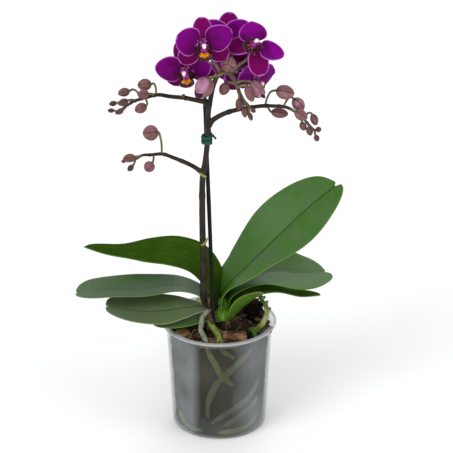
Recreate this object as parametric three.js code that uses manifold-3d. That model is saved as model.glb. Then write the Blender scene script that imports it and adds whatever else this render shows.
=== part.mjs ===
// Potted moth orchid with dark magenta blooms in a translucent nursery pot.
// Millimetres, +Z up. The origin is the centre of the pot's flat base; -Y is the front.

import * as THREE from 'three';
import { mergeVertices } from 'three/addons/utils/BufferGeometryUtils.js';
import Module from 'manifold-3d';

const wasm = await Module();
wasm.setup();

// ---------------------------------------------------------------- driving dimensions

const GAP = 0.35;            // clearance between pieces that touch
const TURN = 2 * Math.PI;

const POT = {
  height: 88, rim: 45, rimDrop: 2.4, wallTop: 41.7, wallBase: 36.9, wall: 1.2,
  corner: 4, floor: 1.6, holes: 6, holeRadius: 3.5, holeRing: 22,
};
const MIX = { floor: 2, shoulder: 83.5, dome: 89.3, chips: 9, seed: 11 };
const CROWN = { foot: [2, 0, 78], top: [3, 2.5, 106], radius: 8 };
const STAKE = { foot: [0.4, -17, 8], top: [-11, -6.8, 282], radius: 1.6 };
const BLADE = { leaf: 1.9, leafEdge: 1, petal: 0.8, lip: 0.8 };
const DORSAL = { long: 23, wide: 15.5 };
const PETAL = { long: 22.5, wide: 21.5 };
const LATERAL = { long: 21.5, wide: 15 };

// ---------------------------------------------------------------- materials

const finish = (color, roughness) =>
  new THREE.MeshStandardMaterial({ color, roughness, metalness: 0 });

const FINISH = {
  pot: finish('#a3a8a8', 0.35),
  bark: finish('#5e4029', 0.95),
  crown: finish('#3f6a20', 0.5),
  leaf: finish('#3b6328', 0.45),
  stem: finish('#3c322c', 0.6),
  root: finish('#8d9a74', 0.8),
  deadRoot: finish('#6b4f38', 0.9),
  bud: finish('#a06a78', 0.6),
  petal: finish('#7a0080', 0.55),
  lip: finish('#4a0630', 0.5),
  stake: finish('#17120f', 0.6),
  tie: finish('#1f6a58', 0.7),
};

// ---------------------------------------------------------------- small helpers

const vec = (p) => new THREE.Vector3(...p);
const rad = THREE.MathUtils.degToRad;

/** A closed body from a list of vertices and triangles, turned so that its faces point out. */
function body(vertices, triangles) {
  const cross = new THREE.Vector3();
  let volume = 0;
  for (const [a, b, c] of triangles) {
    volume += vertices[a].dot(cross.crossVectors(vertices[b], vertices[c]));
  }
  const index = triangles.flatMap(([a, b, c]) => (volume > 0 ? [a, b, c] : [a, c, b]));
  const geometry = new THREE.BufferGeometry().setFromPoints(vertices);
  geometry.setIndex(index);
  return geometry;
}

/** A body skinned over rings of equal count, closed by a fan at each end. */
function skin(rings) {
  const count = rings[0].length;
  const middle = (ring) => ring.reduce((sum, p) => sum.add(p), new THREE.Vector3()).divideScalar(count);
  const vertices = [...rings.flat(), middle(rings[0]), middle(rings.at(-1))];
  const first = rings.length * count;
  const triangles = [];
  for (let j = 0; j < count; j++) {
    const next = (j + 1) % count;
    for (let i = 0; i + 1 < rings.length; i++) {
      const [a, b] = [i * count + j, i * count + next];
      triangles.push([a, b, b + count], [a, b + count, a + count]);
    }
    triangles.push([first, next, j], [first + 1, first - count + j, first - count + next]);
  }
  return body(vertices, triangles);
}

/** A thin plate: rows of [upper, lower] points, split into the same triangles on both faces. */
function plate(rows) {
  const count = rows[0].length;
  const size = rows.length * count;
  const vertices = [0, 1].flatMap((face) => rows.flat().map((pair) => pair[face]));
  const triangles = [];
  const wall = (a, b) => triangles.push([b, a, a + size], [b, a + size, b + size]);
  for (let i = 0; i + 1 < rows.length; i++) {
    for (let j = 0; j + 1 < count; j++) {
      const a = i * count + j;
      const [b, c, d] = [a + 1, a + 1 + count, a + count];
      triangles.push([a, b, c], [a, c, d]);
      triangles.push([a + size, c + size, b + size], [a + size, d + size, c + size]);
    }
    wall((i + 1) * count, i * count);
    wall(i * count + count - 1, (i + 2) * count - 1);
  }
  for (let j = 0; j + 1 < count; j++) {
    wall(j, j + 1);
    wall(size - count + j + 1, size - count + j);
  }
  return body(vertices, triangles);
}

/** A round rod along a smooth curve through the points; radius is a number or a function of 0..1. */
function rod(points, radius, sides = 6, steps = 8) {
  const curve = new THREE.CatmullRomCurve3(points.map(vec));
  const frames = curve.computeFrenetFrames(steps, false);
  const size = typeof radius === 'function' ? radius : () => radius;
  const rings = [];
  for (let i = 0; i <= steps; i++) {
    const centre = curve.getPointAt(i / steps);
    const ring = [];
    for (let j = 0; j < sides; j++) {
      const angle = (j / sides) * TURN;
      ring.push(centre.clone()
        .addScaledVector(frames.normals[i], Math.cos(angle) * size(i / steps))
        .addScaledVector(frames.binormals[i], Math.sin(angle) * size(i / steps)));
    }
    rings.push(ring);
  }
  return skin(rings);
}

/** An egg-shaped body of revolution from its stalk end to its tip. */
function egg(stalk, tip, width, sides = 6, rings = [0.14, 0.5, 0.84]) {
  const axis = vec(tip).sub(vec(stalk));
  const length = axis.length();
  const profile = [new THREE.Vector2(0, 0)];
  for (const t of rings) {
    profile.push(new THREE.Vector2((width / 2) * Math.sin(Math.PI * t ** 0.95) ** 0.6, t * length));
  }
  profile.push(new THREE.Vector2(0, length));
  const turn = new THREE.Quaternion().setFromUnitVectors(new THREE.Vector3(0, 1, 0), axis.normalize());
  return new THREE.LatheGeometry(profile, sides).applyQuaternion(turn).translate(...stalk);
}

/** Turns a geometry into a solid for joining and cutting. */
function solid(geometry) {
  const plain = new THREE.BufferGeometry();
  plain.setAttribute('position', geometry.getAttribute('position'));
  if (geometry.index) plain.setIndex(geometry.index);
  const merged = mergeVertices(plain, 1e-4);
  return new wasm.Manifold(new wasm.Mesh({
    numProp: 3,
    vertProperties: new Float32Array(merged.getAttribute('position').array),
    triVerts: new Uint32Array(merged.index.array),
  }));
}

const join = (geometries) => geometries.map(solid).reduce((whole, more) => whole.add(more));
const cut = (whole, cutters) => cutters.reduce((rest, cutter) => rest.subtract(solid(cutter)), whole);

/** The largest connected body of a solid, as a geometry. */
function geometryOf(whole) {
  const pieces = whole.decompose();
  pieces.sort((a, b) => b.volume() - a.volume());
  const mesh = pieces[0].getMesh();
  const geometry = new THREE.BufferGeometry();
  geometry.setAttribute('position', new THREE.BufferAttribute(new Float32Array(mesh.vertProperties), 3));
  geometry.setIndex(new THREE.BufferAttribute(new Uint32Array(mesh.triVerts), 1));
  return geometry;
}

const plant = new THREE.Group();

/** Adds a named piece to the plant, or to a group inside it. */
function piece(name, geometry, material, parent = plant) {
  const mesh = new THREE.Mesh(geometry, material);
  mesh.name = name;
  parent.add(mesh);
  return mesh;
}

/** A repeatable random source. */
function random(seed) {
  let state = seed;
  return () => {
    state = (state * 1664525 + 1013904223) % 4294967296;
    return state / 4294967296;
  };
}

// ---------------------------------------------------------------- pot

/** Radius of the pot's inner wall at a height. */
const innerRadius = (z) =>
  THREE.MathUtils.lerp(POT.wallBase, POT.wallTop, (z - POT.corner) / (POT.height - POT.corner)) - POT.wall;

function potGeometry() {
  const lip = POT.height - POT.rimDrop;
  const outline = new THREE.Path();
  outline.moveTo(0, 0);
  outline.lineTo(POT.wallBase - POT.corner, 0);
  outline.quadraticCurveTo(POT.wallBase, 0, POT.wallBase, POT.corner);
  outline.lineTo(POT.wallTop, lip);
  outline.lineTo(POT.rim - 0.4, lip);
  outline.lineTo(POT.rim, lip + 0.6);
  outline.lineTo(POT.rim, POT.height - 0.6);
  outline.lineTo(POT.rim - 0.6, POT.height);
  outline.lineTo(POT.wallTop - POT.wall + 0.5, POT.height);
  outline.lineTo(POT.wallTop - POT.wall, lip);
  outline.lineTo(POT.wallBase - POT.wall, POT.corner);
  outline.lineTo(POT.wallBase - POT.wall - 2.2, POT.floor);
  outline.lineTo(0, POT.floor);
  const shell = new THREE.LatheGeometry(outline.getPoints(2), 30).rotateX(Math.PI / 2);
  const drains = [];
  for (let i = 0; i < POT.holes; i++) {
    const angle = (i / POT.holes) * TURN;
    const drain = new THREE.CylinderGeometry(POT.holeRadius, POT.holeRadius, 8, 8).rotateX(Math.PI / 2);
    drains.push(drain.translate(POT.holeRing * Math.cos(angle), POT.holeRing * Math.sin(angle), 0));
  }
  return geometryOf(cut(solid(shell), drains));
}

// ---------------------------------------------------------------- roots, stake and crown

/** A point beside the pot's inner wall: degrees round from the front, height, distance in from it. */
function wallPoint([degrees, z, inward = 0], thick) {
  const radius = innerRadius(z) - thick - GAP - 0.1 - inward;
  return [radius * Math.sin(rad(degrees)), -radius * Math.cos(rad(degrees)), z];
}

/** Radius along a root: thin where it starts, full after that, and blunt at its tip. */
const blunt = (radius, t) => radius * Math.min(1, 0.45 + 4 * t, 0.35 + 7 * (1 - t));

const ROOTS = [
  { name: 'root_silver', radius: 2.15, sides: 6, steps: 14, open: [
    [-3, -6, 97], [-7.6, -11.6, 100.6], [-10.6, -15.4, 103], [-13.2, -18.6, 102], [-14, -21.4, 99.4],
    [-13.4, -25, 96], [-14, -28, 93.5], [-13, -31, 91.5], [-10.8, -35, 88.5]],
    wall: [[-13, 82], [-6, 75], [0, 68], [6, 61]] },
  { name: 'root_green', radius: 2.1, sides: 6, steps: 12, open: [
    [-2, -5, 92], [-6, -10, 95], [-7.9, -15, 97], [-6.4, -19.5, 96.6], [-4.3, -22, 94], [-2.3, -25.5, 92],
    [-0.3, -32, 89.3], [0.8, -35.5, 86]],
    wall: [[5, 81], [12, 76], [19, 72]] },
  { name: 'root_wall_high', radius: 2.6, steps: 12,
    wall: [[50, 79], [35, 71], [18, 62, 0.5], [6, 56, 4.9], [-4, 47, 2], [-10, 38], [-18, 28],
      [-25, 17]] },
  { name: 'root_wall_middle', radius: 2.4, steps: 9,
    wall: [[60, 44], [43, 33], [28, 28], [10, 23], [-3, 17], [-11, 12]] },
  { name: 'root_wall_low', radius: 2.2, steps: 7,
    wall: [[62, 28], [44, 23], [30, 19.5], [17, 15], [6, 11]] },
  { name: 'root_base_right', radius: 1.9, steps: 7,
    wall: [[-5, 5.6], [12, 5.6], [28, 6], [46, 8.5], [58, 14]] },
  { name: 'root_base_left', radius: 1.9, steps: 6, wall: [[-68, 16], [-52, 8], [-38, 5.8], [-21, 6]] },
  { name: 'root_back_right', radius: 2.4, steps: 9,
    wall: [[95, 68], [118, 60], [140, 47], [162, 38], [176, 24]] },
  { name: 'root_back_left', radius: 2.4, steps: 9,
    wall: [[-60, 72], [-85, 58], [-112, 52], [-140, 36], [-160, 30]] },
  { name: 'root_rim', radius: 1.3, steps: 10, dead: true,
    wall: [[97, 80, 0.8], [88, 87, 0.2], [74, 88.4], [60, 86.6, 0.2], [50, 80, 0.8]] },
  { name: 'root_tip', radius: 1.6, steps: 8, open: [
    [21.5, -11.5, 82], [23.8, -15.5, 88.3], [25, -20, 89.4], [25.6, -24, 87.4], [25.6, -26, 82]] },
];

/** A root as a rod: its free part first, then the part that runs along the wall. */
function rootRod({ open = [], wall = [], radius, steps, sides = 5 }, grow = 0) {
  const path = [...open, ...wall.map((place) => wallPoint(place, radius))];
  return rod(path, (t) => blunt(radius, t) + grow, sides, steps);
}

const STUB = [[26.5, -12.5, 80], [29.5, -14.5, 87], [33, -13, 91], [36, -11, 94.5], [37.2, -9, 98.5],
  [37, -7, 102.5], [35.2, -5, 106.5], [33.6, -3.4, 110], [33.2, -3, 112.5]];
const STUB_NUBS = [
  [[36.8, -8, 100], [40.2, -7.4, 103.6]], [[36, -6, 105], [38.4, -6, 109]],
  [[33.8, -4, 109.4], [37.4, -5, 110.4]],
];
const stubRadius = (t) => THREE.MathUtils.lerp(2.6, 1.3, t);

const crownRod = (grow = 0) => rod([CROWN.foot, [2.5, 0.5, 92], CROWN.top],
  (t) => CROWN.radius * (0.72 + 0.28 * Math.sin(Math.PI * t)) * (1 - 0.42 * t ** 3) + grow, 9, 7);

function stakeMesh(grow = 0) {
  const axis = vec(STAKE.top).sub(vec(STAKE.foot));
  const radius = STAKE.radius + grow;
  const stake = new THREE.Mesh(new THREE.CylinderGeometry(radius, radius, axis.length(), 8), FINISH.stake);
  stake.position.copy(vec(STAKE.foot)).addScaledVector(axis, 0.5);
  stake.quaternion.setFromUnitVectors(new THREE.Vector3(0, 1, 0), axis.clone().normalize());
  stake.updateMatrix();
  return stake;
}

function stakeCutter() {
  const stake = stakeMesh(GAP);
  return stake.geometry.applyMatrix4(stake.matrix);
}

// ---------------------------------------------------------------- stems and buds

const SPIKE = [[-2.5, -4, 101], [-6, -7, 104], [-9.5, -9.5, 106.5], [-12, -11, 111], [-12.4, -13, 122],
  [-12.2, -14, 138], [-12.6, -14, 160], [-13, -13, 190], [-12.6, -12.6, 216], [-10.4, -12.8, 231],
  [-9, -12.9, 245], [-8.3, -13, 257], [-8, -13, 272], [-6, -14, 285], [-4.6, -14, 292], [-3, -15, 298],
  [0.6, -15.5, 304.5], [4, -16, 307], [7, -17, 306], [10, -18, 303], [12.6, -18, 298.5], [14.2, -18, 294],
  [16, -18, 288], [18.8, -18, 283], [22, -18, 279], [24, -18, 276.5]];
const spikeRadius = (t) => THREE.MathUtils.lerp(2.4, 1.35, t ** 1.5);

/** Flower stalks: each leaves the spike and is led to the back of its bloom. */
const STALKS = [
  { bloom: 'bloom_front', radius: 1.2, path: [[1, -16, 305.5], [-1.5, -18, 311], [-6, -20.5, 320]] },
  { bloom: 'bloom_right', radius: 1.2, path: [[8, -17, 305.5], [13, -15.5, 310], [20, -13, 314]] },
  { bloom: 'bloom_left', radius: 1.1, path: [[-4, -14.5, 295], [-10, -9, 298], [-16, -5, 302]] },
  { bloom: 'bloom_top', radius: 1.1, path: [[2, -15.5, 305.6], [3.4, -4, 305.5], [4.2, 8, 307]] },
  { bloom: 'bloom_low', radius: 1, path: [[12.6, -18, 298.5], [10, -12, 300], [13, -3, 302],
    [20, 4.4, 298.6]] },
  { bloom: 'bloom_back', radius: 1.1, path: [[-3, -14.6, 298], [-5, 0, 302], [-5.4, 16, 303.5],
    [-4.4, 31, 303], [4, 37, 300]] },
];

/** Big buds that have a node of their own, each on a stalk that is part of the spike. */
const BIG_BUDS = [
  { name: 'bud_round', stalk: [7, -19.6, 313], tip: [7, -31.5, 316.5], wide: 11.4,
    path: [[6.5, -17, 306], [6.8, -17.6, 310], [7, -19.2, 312.9]] },
  { name: 'bud_opening', stalk: [-6, -26, 306], tip: [-15, -33, 294], wide: 15, parted: true,
    path: [[5, -16.5, 306], [0, -21.5, 305.6], [-5.6, -25.6, 306.2]] },
  { name: 'bud_hanging', stalk: [6.2, -20.2, 298.4], tip: [2, -21.4, 289.4], wide: 8.2,
    path: [[12.4, -18, 297.5], [9.5, -19.6, 298.8], [7, -20.2, 299]] },
  { name: 'bud_half_open', stalk: [23.4, -20, 299.6], tip: [33, -21.6, 286.4], wide: 10.6, parted: true,
    path: [[13, -18, 297.6], [17.5, -19.6, 300], [22.6, -20, 300]] },
  { name: 'bud_folded', stalk: [19.4, -26.6, 297], tip: [24, -29.6, 286.6], wide: 7,
    path: [[14.2, -18, 294.4], [16, -23, 296.6], [19, -26.2, 297.4]] },
];

const SPRAYS = [
  { name: 'spray_left', radius: [2, 0.9], steps: 14,
    branch: [[-9.9, -13, 280.4], [-16, -12.6, 282], [-26, -12, 284], [-37, -12, 285], [-46, -12, 286],
      [-53, -12, 284], [-59, -12, 282], [-65, -12, 280], [-70, -11, 276], [-75, -10, 272], [-79, -10, 269]],
    buds: [
      { path: [[-48, -12, 285.6], [-48, -12, 291], [-49.6, -10, 294], [-51.4, -9, 293]],
        tip: [-62, -7, 291], wide: 9.4 },
      { path: [[-50, -12.6, 285], [-51, -15, 287.6], [-53, -18, 288.6]],
        tip: [-62, -19, 288.6], wide: 7.4 },
      { path: [[-60, -12, 281.6], [-62.6, -10.6, 287.6], [-65.6, -9, 288.6], [-68, -8, 287]],
        tip: [-77, -8, 284.6], wide: 6.8 },
      { path: [[-63, -12, 280.6], [-66, -13.4, 282], [-69, -14, 281.6]],
        tip: [-77, -14, 278.4], wide: 5.6 },
      { path: [[-56, -12, 283], [-54.6, -13, 278.6], [-55.2, -13, 277]],
        tip: [-64, -13.4, 272.6], wide: 8 },
      { path: [[-71, -11, 275], [-73, -13, 273.4]], tip: [-78.6, -14.4, 271], wide: 4.6 },
      { path: [[-71, -11, 275.4], [-76, -7, 276.6], [-78, -6, 276.2]], tip: [-84, -6, 275], wide: 4.2 },
      { path: [[-77, -10, 270.6], [-80, -10, 271.4]], tip: [-85, -10, 271.6], wide: 3.6 },
      { path: [[-26.4, -12.6, 284], [-26.6, -13.6, 285]], tip: [-27.4, -16, 286.4], wide: 3 },
    ] },
  { name: 'spray_low', radius: [1.9, 0.9], steps: 12,
    branch: [[-15.4, -13, 223], [-19, -12.4, 225.4], [-26, -12, 229], [-35, -12, 233], [-43, -12, 236],
      [-53, -12, 235.4], [-59, -12, 235], [-63, -12, 232.4], [-67, -12, 230.4], [-71, -12, 230]],
    buds: [
      { path: [[-44, -12, 235], [-44, -12, 244], [-44.8, -11.4, 249.4], [-46.4, -11, 254]],
        tip: [-58.4, -11, 252.6], wide: 12.2 },
      { path: [[-60, -12, 234.6], [-64.4, -14.6, 235]], tip: [-73.6, -16.4, 233.4], wide: 6.8 },
      { path: [[-50, -12, 235.4], [-50.4, -14, 231.4], [-51, -15.4, 230.4]],
        tip: [-56, -20.6, 225.6], wide: 8.6 },
      { path: [[-64, -12, 231.6], [-65.4, -10.6, 227], [-66.2, -10, 225.6]],
        tip: [-70, -10, 221], wide: 4.6 },
      { path: [[-70, -12, 230.4], [-71.6, -12, 230.2]], tip: [-75, -12, 229.8], wide: 3 },
    ] },
  { name: 'spray_right', radius: [2, 0.9], steps: 16,
    branch: [[-5.2, -12.7, 264.2], [-2, -12.4, 266.6], [4, -12.4, 270], [12, -13, 273], [22, -14, 275.4],
      [33, -14, 277], [42, -14, 277], [51, -14, 276], [57, -14, 273], [64, -14, 267], [69, -14, 261],
      [73, -14, 256.4], [73.6, -14, 253]],
    buds: [
      { path: [[35, -14, 277], [37, -13, 284], [39.6, -12, 288], [43.4, -12, 289]],
        tip: [57.4, -12, 286], wide: 11.2 },
      { path: [[49, -14, 276.4], [52, -10, 280.4], [54.4, -8, 282], [57, -8, 280.4]],
        tip: [64.4, -7.6, 271], wide: 9.4 },
      { path: [[54, -14, 274.6], [58, -19, 275]], tip: [67, -21.4, 269.4], wide: 8.4 },
      { path: [[37, -13.4, 276.6], [38.6, -8, 271], [40, -6, 268.6]], tip: [53, -5, 266.4], wide: 8 },
      { path: [[65, -13.6, 266], [68.4, -10.6, 270], [71.4, -10, 268.4]],
        tip: [74.4, -10, 259.4], wide: 6.2 },
      { path: [[64, -14, 267], [63, -16.6, 264.6]], tip: [65.4, -16, 257.6], wide: 5.6 },
      { path: [[69, -14, 261], [68.4, -17.4, 261.4]], tip: [70, -17.6, 254], wide: 5.4 },
      { path: [[72, -14, 257.6], [74, -12.4, 256.4]], tip: [78.4, -12, 257], wide: 4.4 },
      { path: [[73.6, -14, 254], [73.8, -14, 252.8]], tip: [75.6, -14, 247.6], wide: 4.4 },
    ] },
];

/** Scale-like bracts at the joints of the spike. */
const BRACTS = [
  { path: [[-12.2, -13, 146], [-11.8, -13.4, 149], [-9.6, -14.6, 154]], thick: 2.9 },
  { path: [[-12.6, -12.6, 213], [-13.4, -13.4, 216], [-15.4, -14.4, 219.4]], thick: 2.7 },
];

/** Small buds at the drooping end of the spike; they are fused to it. */
const TIP_BUDS = [
  { path: [[15, -18, 291], [15.4, -21.4, 286.6]], tip: [15, -23.6, 277.4], wide: 5.4 },
  { path: [[18.6, -18, 283.4], [18.8, -20.4, 279.4]], tip: [20, -21, 270.4], wide: 4.8 },
  { path: [[22, -18, 279], [22.8, -19.6, 274]], tip: [25, -20, 267.4], wide: 3.8 },
  { path: [[23.6, -18, 277], [24.6, -18, 276.6]], tip: [27.6, -18, 273.4], wide: 3.8 },
  { path: [[20.6, -17.8, 280.6], [21.4, -17, 276]], tip: [22.6, -17, 270.6], wide: 4 },
];

/** A small bud with its stalk, which runs on a little way inside it. */
function budded({ path, tip, wide }) {
  const stalk = path.at(-1);
  const inside = vec(stalk).lerp(vec(tip), 0.25).toArray();
  return [rod([...path, inside], 0.85, 4, path.length), egg(stalk, tip, wide, 5, [0.22, 0.7])];
}

function sprayGeometry(spray) {
  const [thick, thin] = spray.radius;
  const branch = rod(spray.branch, (t) => THREE.MathUtils.lerp(thick, thin, t), 6, spray.steps);
  return geometryOf(join([branch, ...spray.buds.flatMap(budded)]));
}

/** The spike with its joint rings, flower stalks and tip buds. */
function spikeGeometry() {
  const parts = [rod(SPIKE, spikeRadius, 6, 26)];
  for (const { bloom, radius, path } of STALKS) {
    const target = bloomFrame(BLOOMS.find(({ name }) => name === bloom));
    const behind = (z) => new THREE.Vector3(0, 0, -z).applyMatrix4(target).toArray();
    parts.push(rod([...path, behind(8), behind(3.2)], radius, 4, 6));
  }
  for (const bud of BIG_BUDS) parts.push(rod(bud.path, 0.95, 4, 3));
  for (const bud of TIP_BUDS) parts.push(...budded(bud));
  for (const { path, thick } of BRACTS) parts.push(rod(path, (t) => thick - 1.9 * t, 5, 2));
  return geometryOf(join(parts));
}

/** A bud whose outer sepals have begun to part: two broad scales round a core. */
function openingBud({ stalk, tip, wide }) {
  const axis = vec(tip).sub(vec(stalk));
  const side = new THREE.Vector3().crossVectors(axis, new THREE.Vector3(0, 1, 0)).normalize();
  const lean = (amount) => side.clone().multiplyScalar(amount * wide).add(vec(tip)).toArray();
  const from = (amount) => side.clone().multiplyScalar(amount * wide).add(vec(stalk)).toArray();
  return geometryOf(join([
    egg(stalk, tip, wide * 0.82, 7),
    egg(from(0.08), lean(0.2), wide * 0.72, 7),
    egg(from(-0.08), lean(-0.2), wide * 0.72, 7),
  ]));
}

// ---------------------------------------------------------------- leaves

/**
 * Each leaf has a rib (a smooth curve), a width, a twist in degrees at points spread along it, the
 * powers that shape its outline at base and tip, and a keel: how far its edges stand above the rib.
 */
const LEAVES = [
  { name: 'leaf_left_top',
    rib: [[3, 5, 90], [-3, 6, 114], [-19, 9, 133], [-42, 15, 139], [-75, 23, 136], [-106, 31, 137]],
    wide: 47, twist: [-13, -15, 4, 21], base: 1.04, tip: 0.4, keel: 0.12 },
  { name: 'leaf_left_middle',
    rib: [[0, 2, 90], [-12, 2, 108], [-31, 4, 115], [-60, 6, 111], [-90, 8, 109], [-113, 9, 107]],
    wide: 44, twist: [-1, 0, 2, 2], base: 1, tip: 0.39, keel: 0.19 },
  { name: 'leaf_left_low',
    rib: [[0, -2, 90], [-11, -5, 100.5], [-27, -8, 102], [-48, -10, 100], [-70, -11, 101], [-89, -11, 105]],
    wide: 46, twist: [21, -18, -6, 6], base: 1.08, tip: 0.3, keel: 0.11 },
  { name: 'leaf_left_under',
    rib: [[0, -4, 89], [-12, -8, 94.5], [-23, -11, 95], [-38, -14, 94], [-52, -15, 93]],
    wide: 32, twist: [0, 0, -2, 0], base: 1, tip: 0.45, keel: 0.1 },
  { name: 'leaf_right_top',
    rib: [[5, 3, 90], [4, 4, 112], [20, 8, 128], [39, 16, 145], [67, 28, 169], [94, 40, 188]],
    wide: 54, twist: [-23, 2, 31, 25], base: 0.69, tip: 0.48, keel: 0.24 },
  { name: 'leaf_right_middle',
    rib: [[7, 1, 90], [7, 3, 109], [18, 8, 118], [38, 15, 122], [66, 22, 118], [86, 30, 115]],
    wide: 50, twist: [0, -2, 18, 3], base: 1.05, tip: 0.43, keel: 0.13 },
  { name: 'leaf_right_low',
    rib: [[8, -1, 89], [9, 2, 102], [19, 8, 107.5], [39, 13, 110], [61, 16, 103], [80, 18, 101]],
    wide: 37, twist: [0, 0, -12, -13], base: 0.78, tip: 0.56, keel: 0.09 },
  { name: 'leaf_right_small',
    rib: [[8, -4, 88], [14, -8, 101], [23, -11, 111.5], [34, -13, 118]],
    wide: 19, twist: [-18, -31, -34], base: 0.83, tip: 0.42, keel: 0.12 },
];
const LEAF_FOOT = 0.26;      // half-width at the sheath, as a share of the greatest
const ACROSS = [-1, -0.5, 0, 0.5, 1];

/** Half-width of a blade at 0..1 along it, 1 at its widest. */
function outlineAt(t, base, tip) {
  const widest = base / (base + tip);
  return (t ** base * (1 - t) ** tip) / (widest ** base * (1 - widest) ** tip);
}

function valueAlong(values, t) {
  const place = t * (values.length - 1);
  const i = Math.min(Math.floor(place), values.length - 2);
  return THREE.MathUtils.lerp(values[i], values[i + 1], place - i);
}

function leafGeometry(leaf, grow = 0) {
  const curve = new THREE.CatmullRomCurve3(leaf.rib.map(vec));
  const run = vec(leaf.rib.at(-1)).sub(vec(leaf.rib[0]));
  const level = new THREE.Vector3(-run.y, run.x, 0).normalize();
  const rows = [];
  const steps = 10;
  for (let i = 0; i <= steps; i++) {
    const t = Math.sin((i / steps) * (Math.PI / 2));
    const along = curve.getTangentAt(t);
    const side = level.clone().addScaledVector(along, -level.dot(along)).normalize();
    const twist = new THREE.Quaternion().setFromAxisAngle(along, rad(valueAlong(leaf.twist, t)));
    side.applyQuaternion(twist);
    const up = new THREE.Vector3().crossVectors(along, side);
    const half = (leaf.wide / 2) * Math.hypot(LEAF_FOOT * (1 - t) ** 2, outlineAt(t, leaf.base, leaf.tip));
    const reach = Math.max(half, 1) + grow;
    rows.push(ACROSS.map((v) => {
      const thick = THREE.MathUtils.lerp(BLADE.leaf, BLADE.leafEdge, Math.abs(v)) / 2 + grow;
      const point = curve.getPointAt(t)
        .addScaledVector(side, v * reach)
        .addScaledVector(up, leaf.keel * reach * Math.abs(v));
      return [point.clone().addScaledVector(up, thick), point.clone().addScaledVector(up, -thick)];
    }));
  }
  return plate(rows);
}

// ---------------------------------------------------------------- blooms

/**
 * Position, then degrees: turn to the right, tip up and roll anticlockwise. Petals and the two lower
 * sepals have [spread from the top, sweep back]; the crest is the sweep of the top sepal.
 */
const BLOOMS = [
  { name: 'bloom_front', at: [-11, -30, 332.3], turn: 8, tip: 9, roll: 3,
    petals: [70, -6], sepals: [125, -5], crest: -4 },
  { name: 'bloom_right', at: [27.2, -22, 329.6], turn: 2, tip: 44, roll: -47,
    petals: [51, 16], sepals: [126, 16], crest: 58 },
  { name: 'bloom_left', at: [-25, -18, 307], turn: -12, tip: -5, roll: 15,
    petals: [74, -15], sepals: [118, 7], crest: 7 },
  { name: 'bloom_top', at: [5.8, 8, 320.2], turn: 5, tip: 5, roll: -8,
    petals: [68, 5], sepals: [129, 5], crest: 5 },
  { name: 'bloom_low', at: [27.2, -2, 293], turn: 46, tip: -14, roll: -18,
    petals: [70, -4], sepals: [129, 52], crest: 10 },
  { name: 'bloom_back', at: [15, 26.6, 291.5], turn: -10, tip: 0, roll: 30,
    petals: [66, 4], sepals: [129, 4], crest: 4 },
];

/** One petal or sepal, growing from the bloom's middle at an angle clockwise from the top. */
function petalGeometry({ long, wide }, degrees, { lift, sweep, cup }) {
  const rows = [];
  const steps = 4;
  for (let i = 0; i <= steps; i++) {
    const t = Math.sin((i / steps) * (Math.PI / 2));
    const half = Math.max((wide / 2) * Math.hypot(0.2 * (1 - t) ** 2, outlineAt(t, 0.85, 0.5)), 0.7);
    rows.push([-1, 0, 1].map((v) => {
      const z = lift - Math.sin(rad(sweep)) * t * long - cup * wide * v * v * t - 0.06 * long * t * t;
      const point = (offset) => new THREE.Vector3(v * half, Math.cos(rad(sweep)) * t * long, z + offset);
      return [point(BLADE.petal / 2), point(-BLADE.petal / 2)];
    }));
  }
  return plate(rows).rotateZ(-rad(degrees));
}

function petalsGeometry({ petals, sepals, crest }) {
  const sepal = { lift: -0.9, sweep: sepals[1], cup: 0.06 };
  const front = { lift: 0.2, sweep: petals[1], cup: 0.08 };
  return geometryOf(join([
    petalGeometry(DORSAL, 0, { ...sepal, sweep: crest }),
    petalGeometry(LATERAL, sepals[0], sepal),
    petalGeometry(LATERAL, -sepals[0], sepal),
    petalGeometry(PETAL, petals[0], front),
    petalGeometry(PETAL, -petals[0], front),
    rod([[0, -0.5, -1.8], [0, 0.8, 2.5], [0, 1.6, 7.6]], (t) => 2.3 - 0.5 * t, 5, 1),
  ]));
}

/** A standing side lobe of the lip; side is 1 or -1. */
function sideLobe(side) {
  const rows = [0, 0.5, 1].map((t) => {
    const half = 2.6 * Math.max(Math.sin(Math.PI * (0.2 + 0.75 * t)), 0.35);
    return [-1, 1].map((v) => {
      const edge = (offset) => new THREE.Vector3(
        side * (2 + 4.6 * t + offset), -3.6 + 5.4 * t + v * half * 0.5, 4.6 + v * half + 1.2 * t);
      return [edge(BLADE.lip / 2), edge(-BLADE.lip / 2)];
    });
  });
  return plate(rows);
}

/** The lip's middle lobe, hanging forward. */
function middleLobe() {
  const rows = [0, 0.45, 1].map((t) => {
    const half = 1.4 + 3.6 * Math.sin(Math.PI * t ** 0.8) + 0.4 * t;
    return [-1, 0, 1].map((v) => {
      const rise = 3.2 + 6.4 * t - 2 * t * t + 0.5 * (1 - v * v);
      const edge = (offset) => new THREE.Vector3(v * half, -3 - 8.2 * t + offset, rise + offset);
      return [edge(BLADE.lip / 2), edge(-BLADE.lip / 2)];
    });
  });
  return plate(rows);
}

function lipGeometry() {
  const claw = rod([[0, -3.2, 1.9], [0, -3.6, 3.4], [0, -4.4, 5.8]], (t) => 1.4 + 0.8 * t, 4, 1);
  const callus = new THREE.OctahedronGeometry(2.4).translate(0, -3.8, 6);
  return geometryOf(join([claw, sideLobe(1), sideLobe(-1), middleLobe(), callus]));
}

/** A bloom's own frame: +Z is the way it faces and +Y is towards its top sepal. */
function bloomFrame({ at, turn, tip, roll }) {
  const level = Math.cos(rad(tip));
  const face = new THREE.Vector3(
    Math.sin(rad(turn)) * level, -Math.cos(rad(turn)) * level, Math.sin(rad(tip)));
  const right = new THREE.Vector3(0, 0, 1).cross(face).normalize();
  const up = new THREE.Vector3().crossVectors(face, right);
  return new THREE.Matrix4().makeBasis(right, up, face)
    .multiply(new THREE.Matrix4().makeRotationZ(rad(roll)))
    .setPosition(...at);
}

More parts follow.
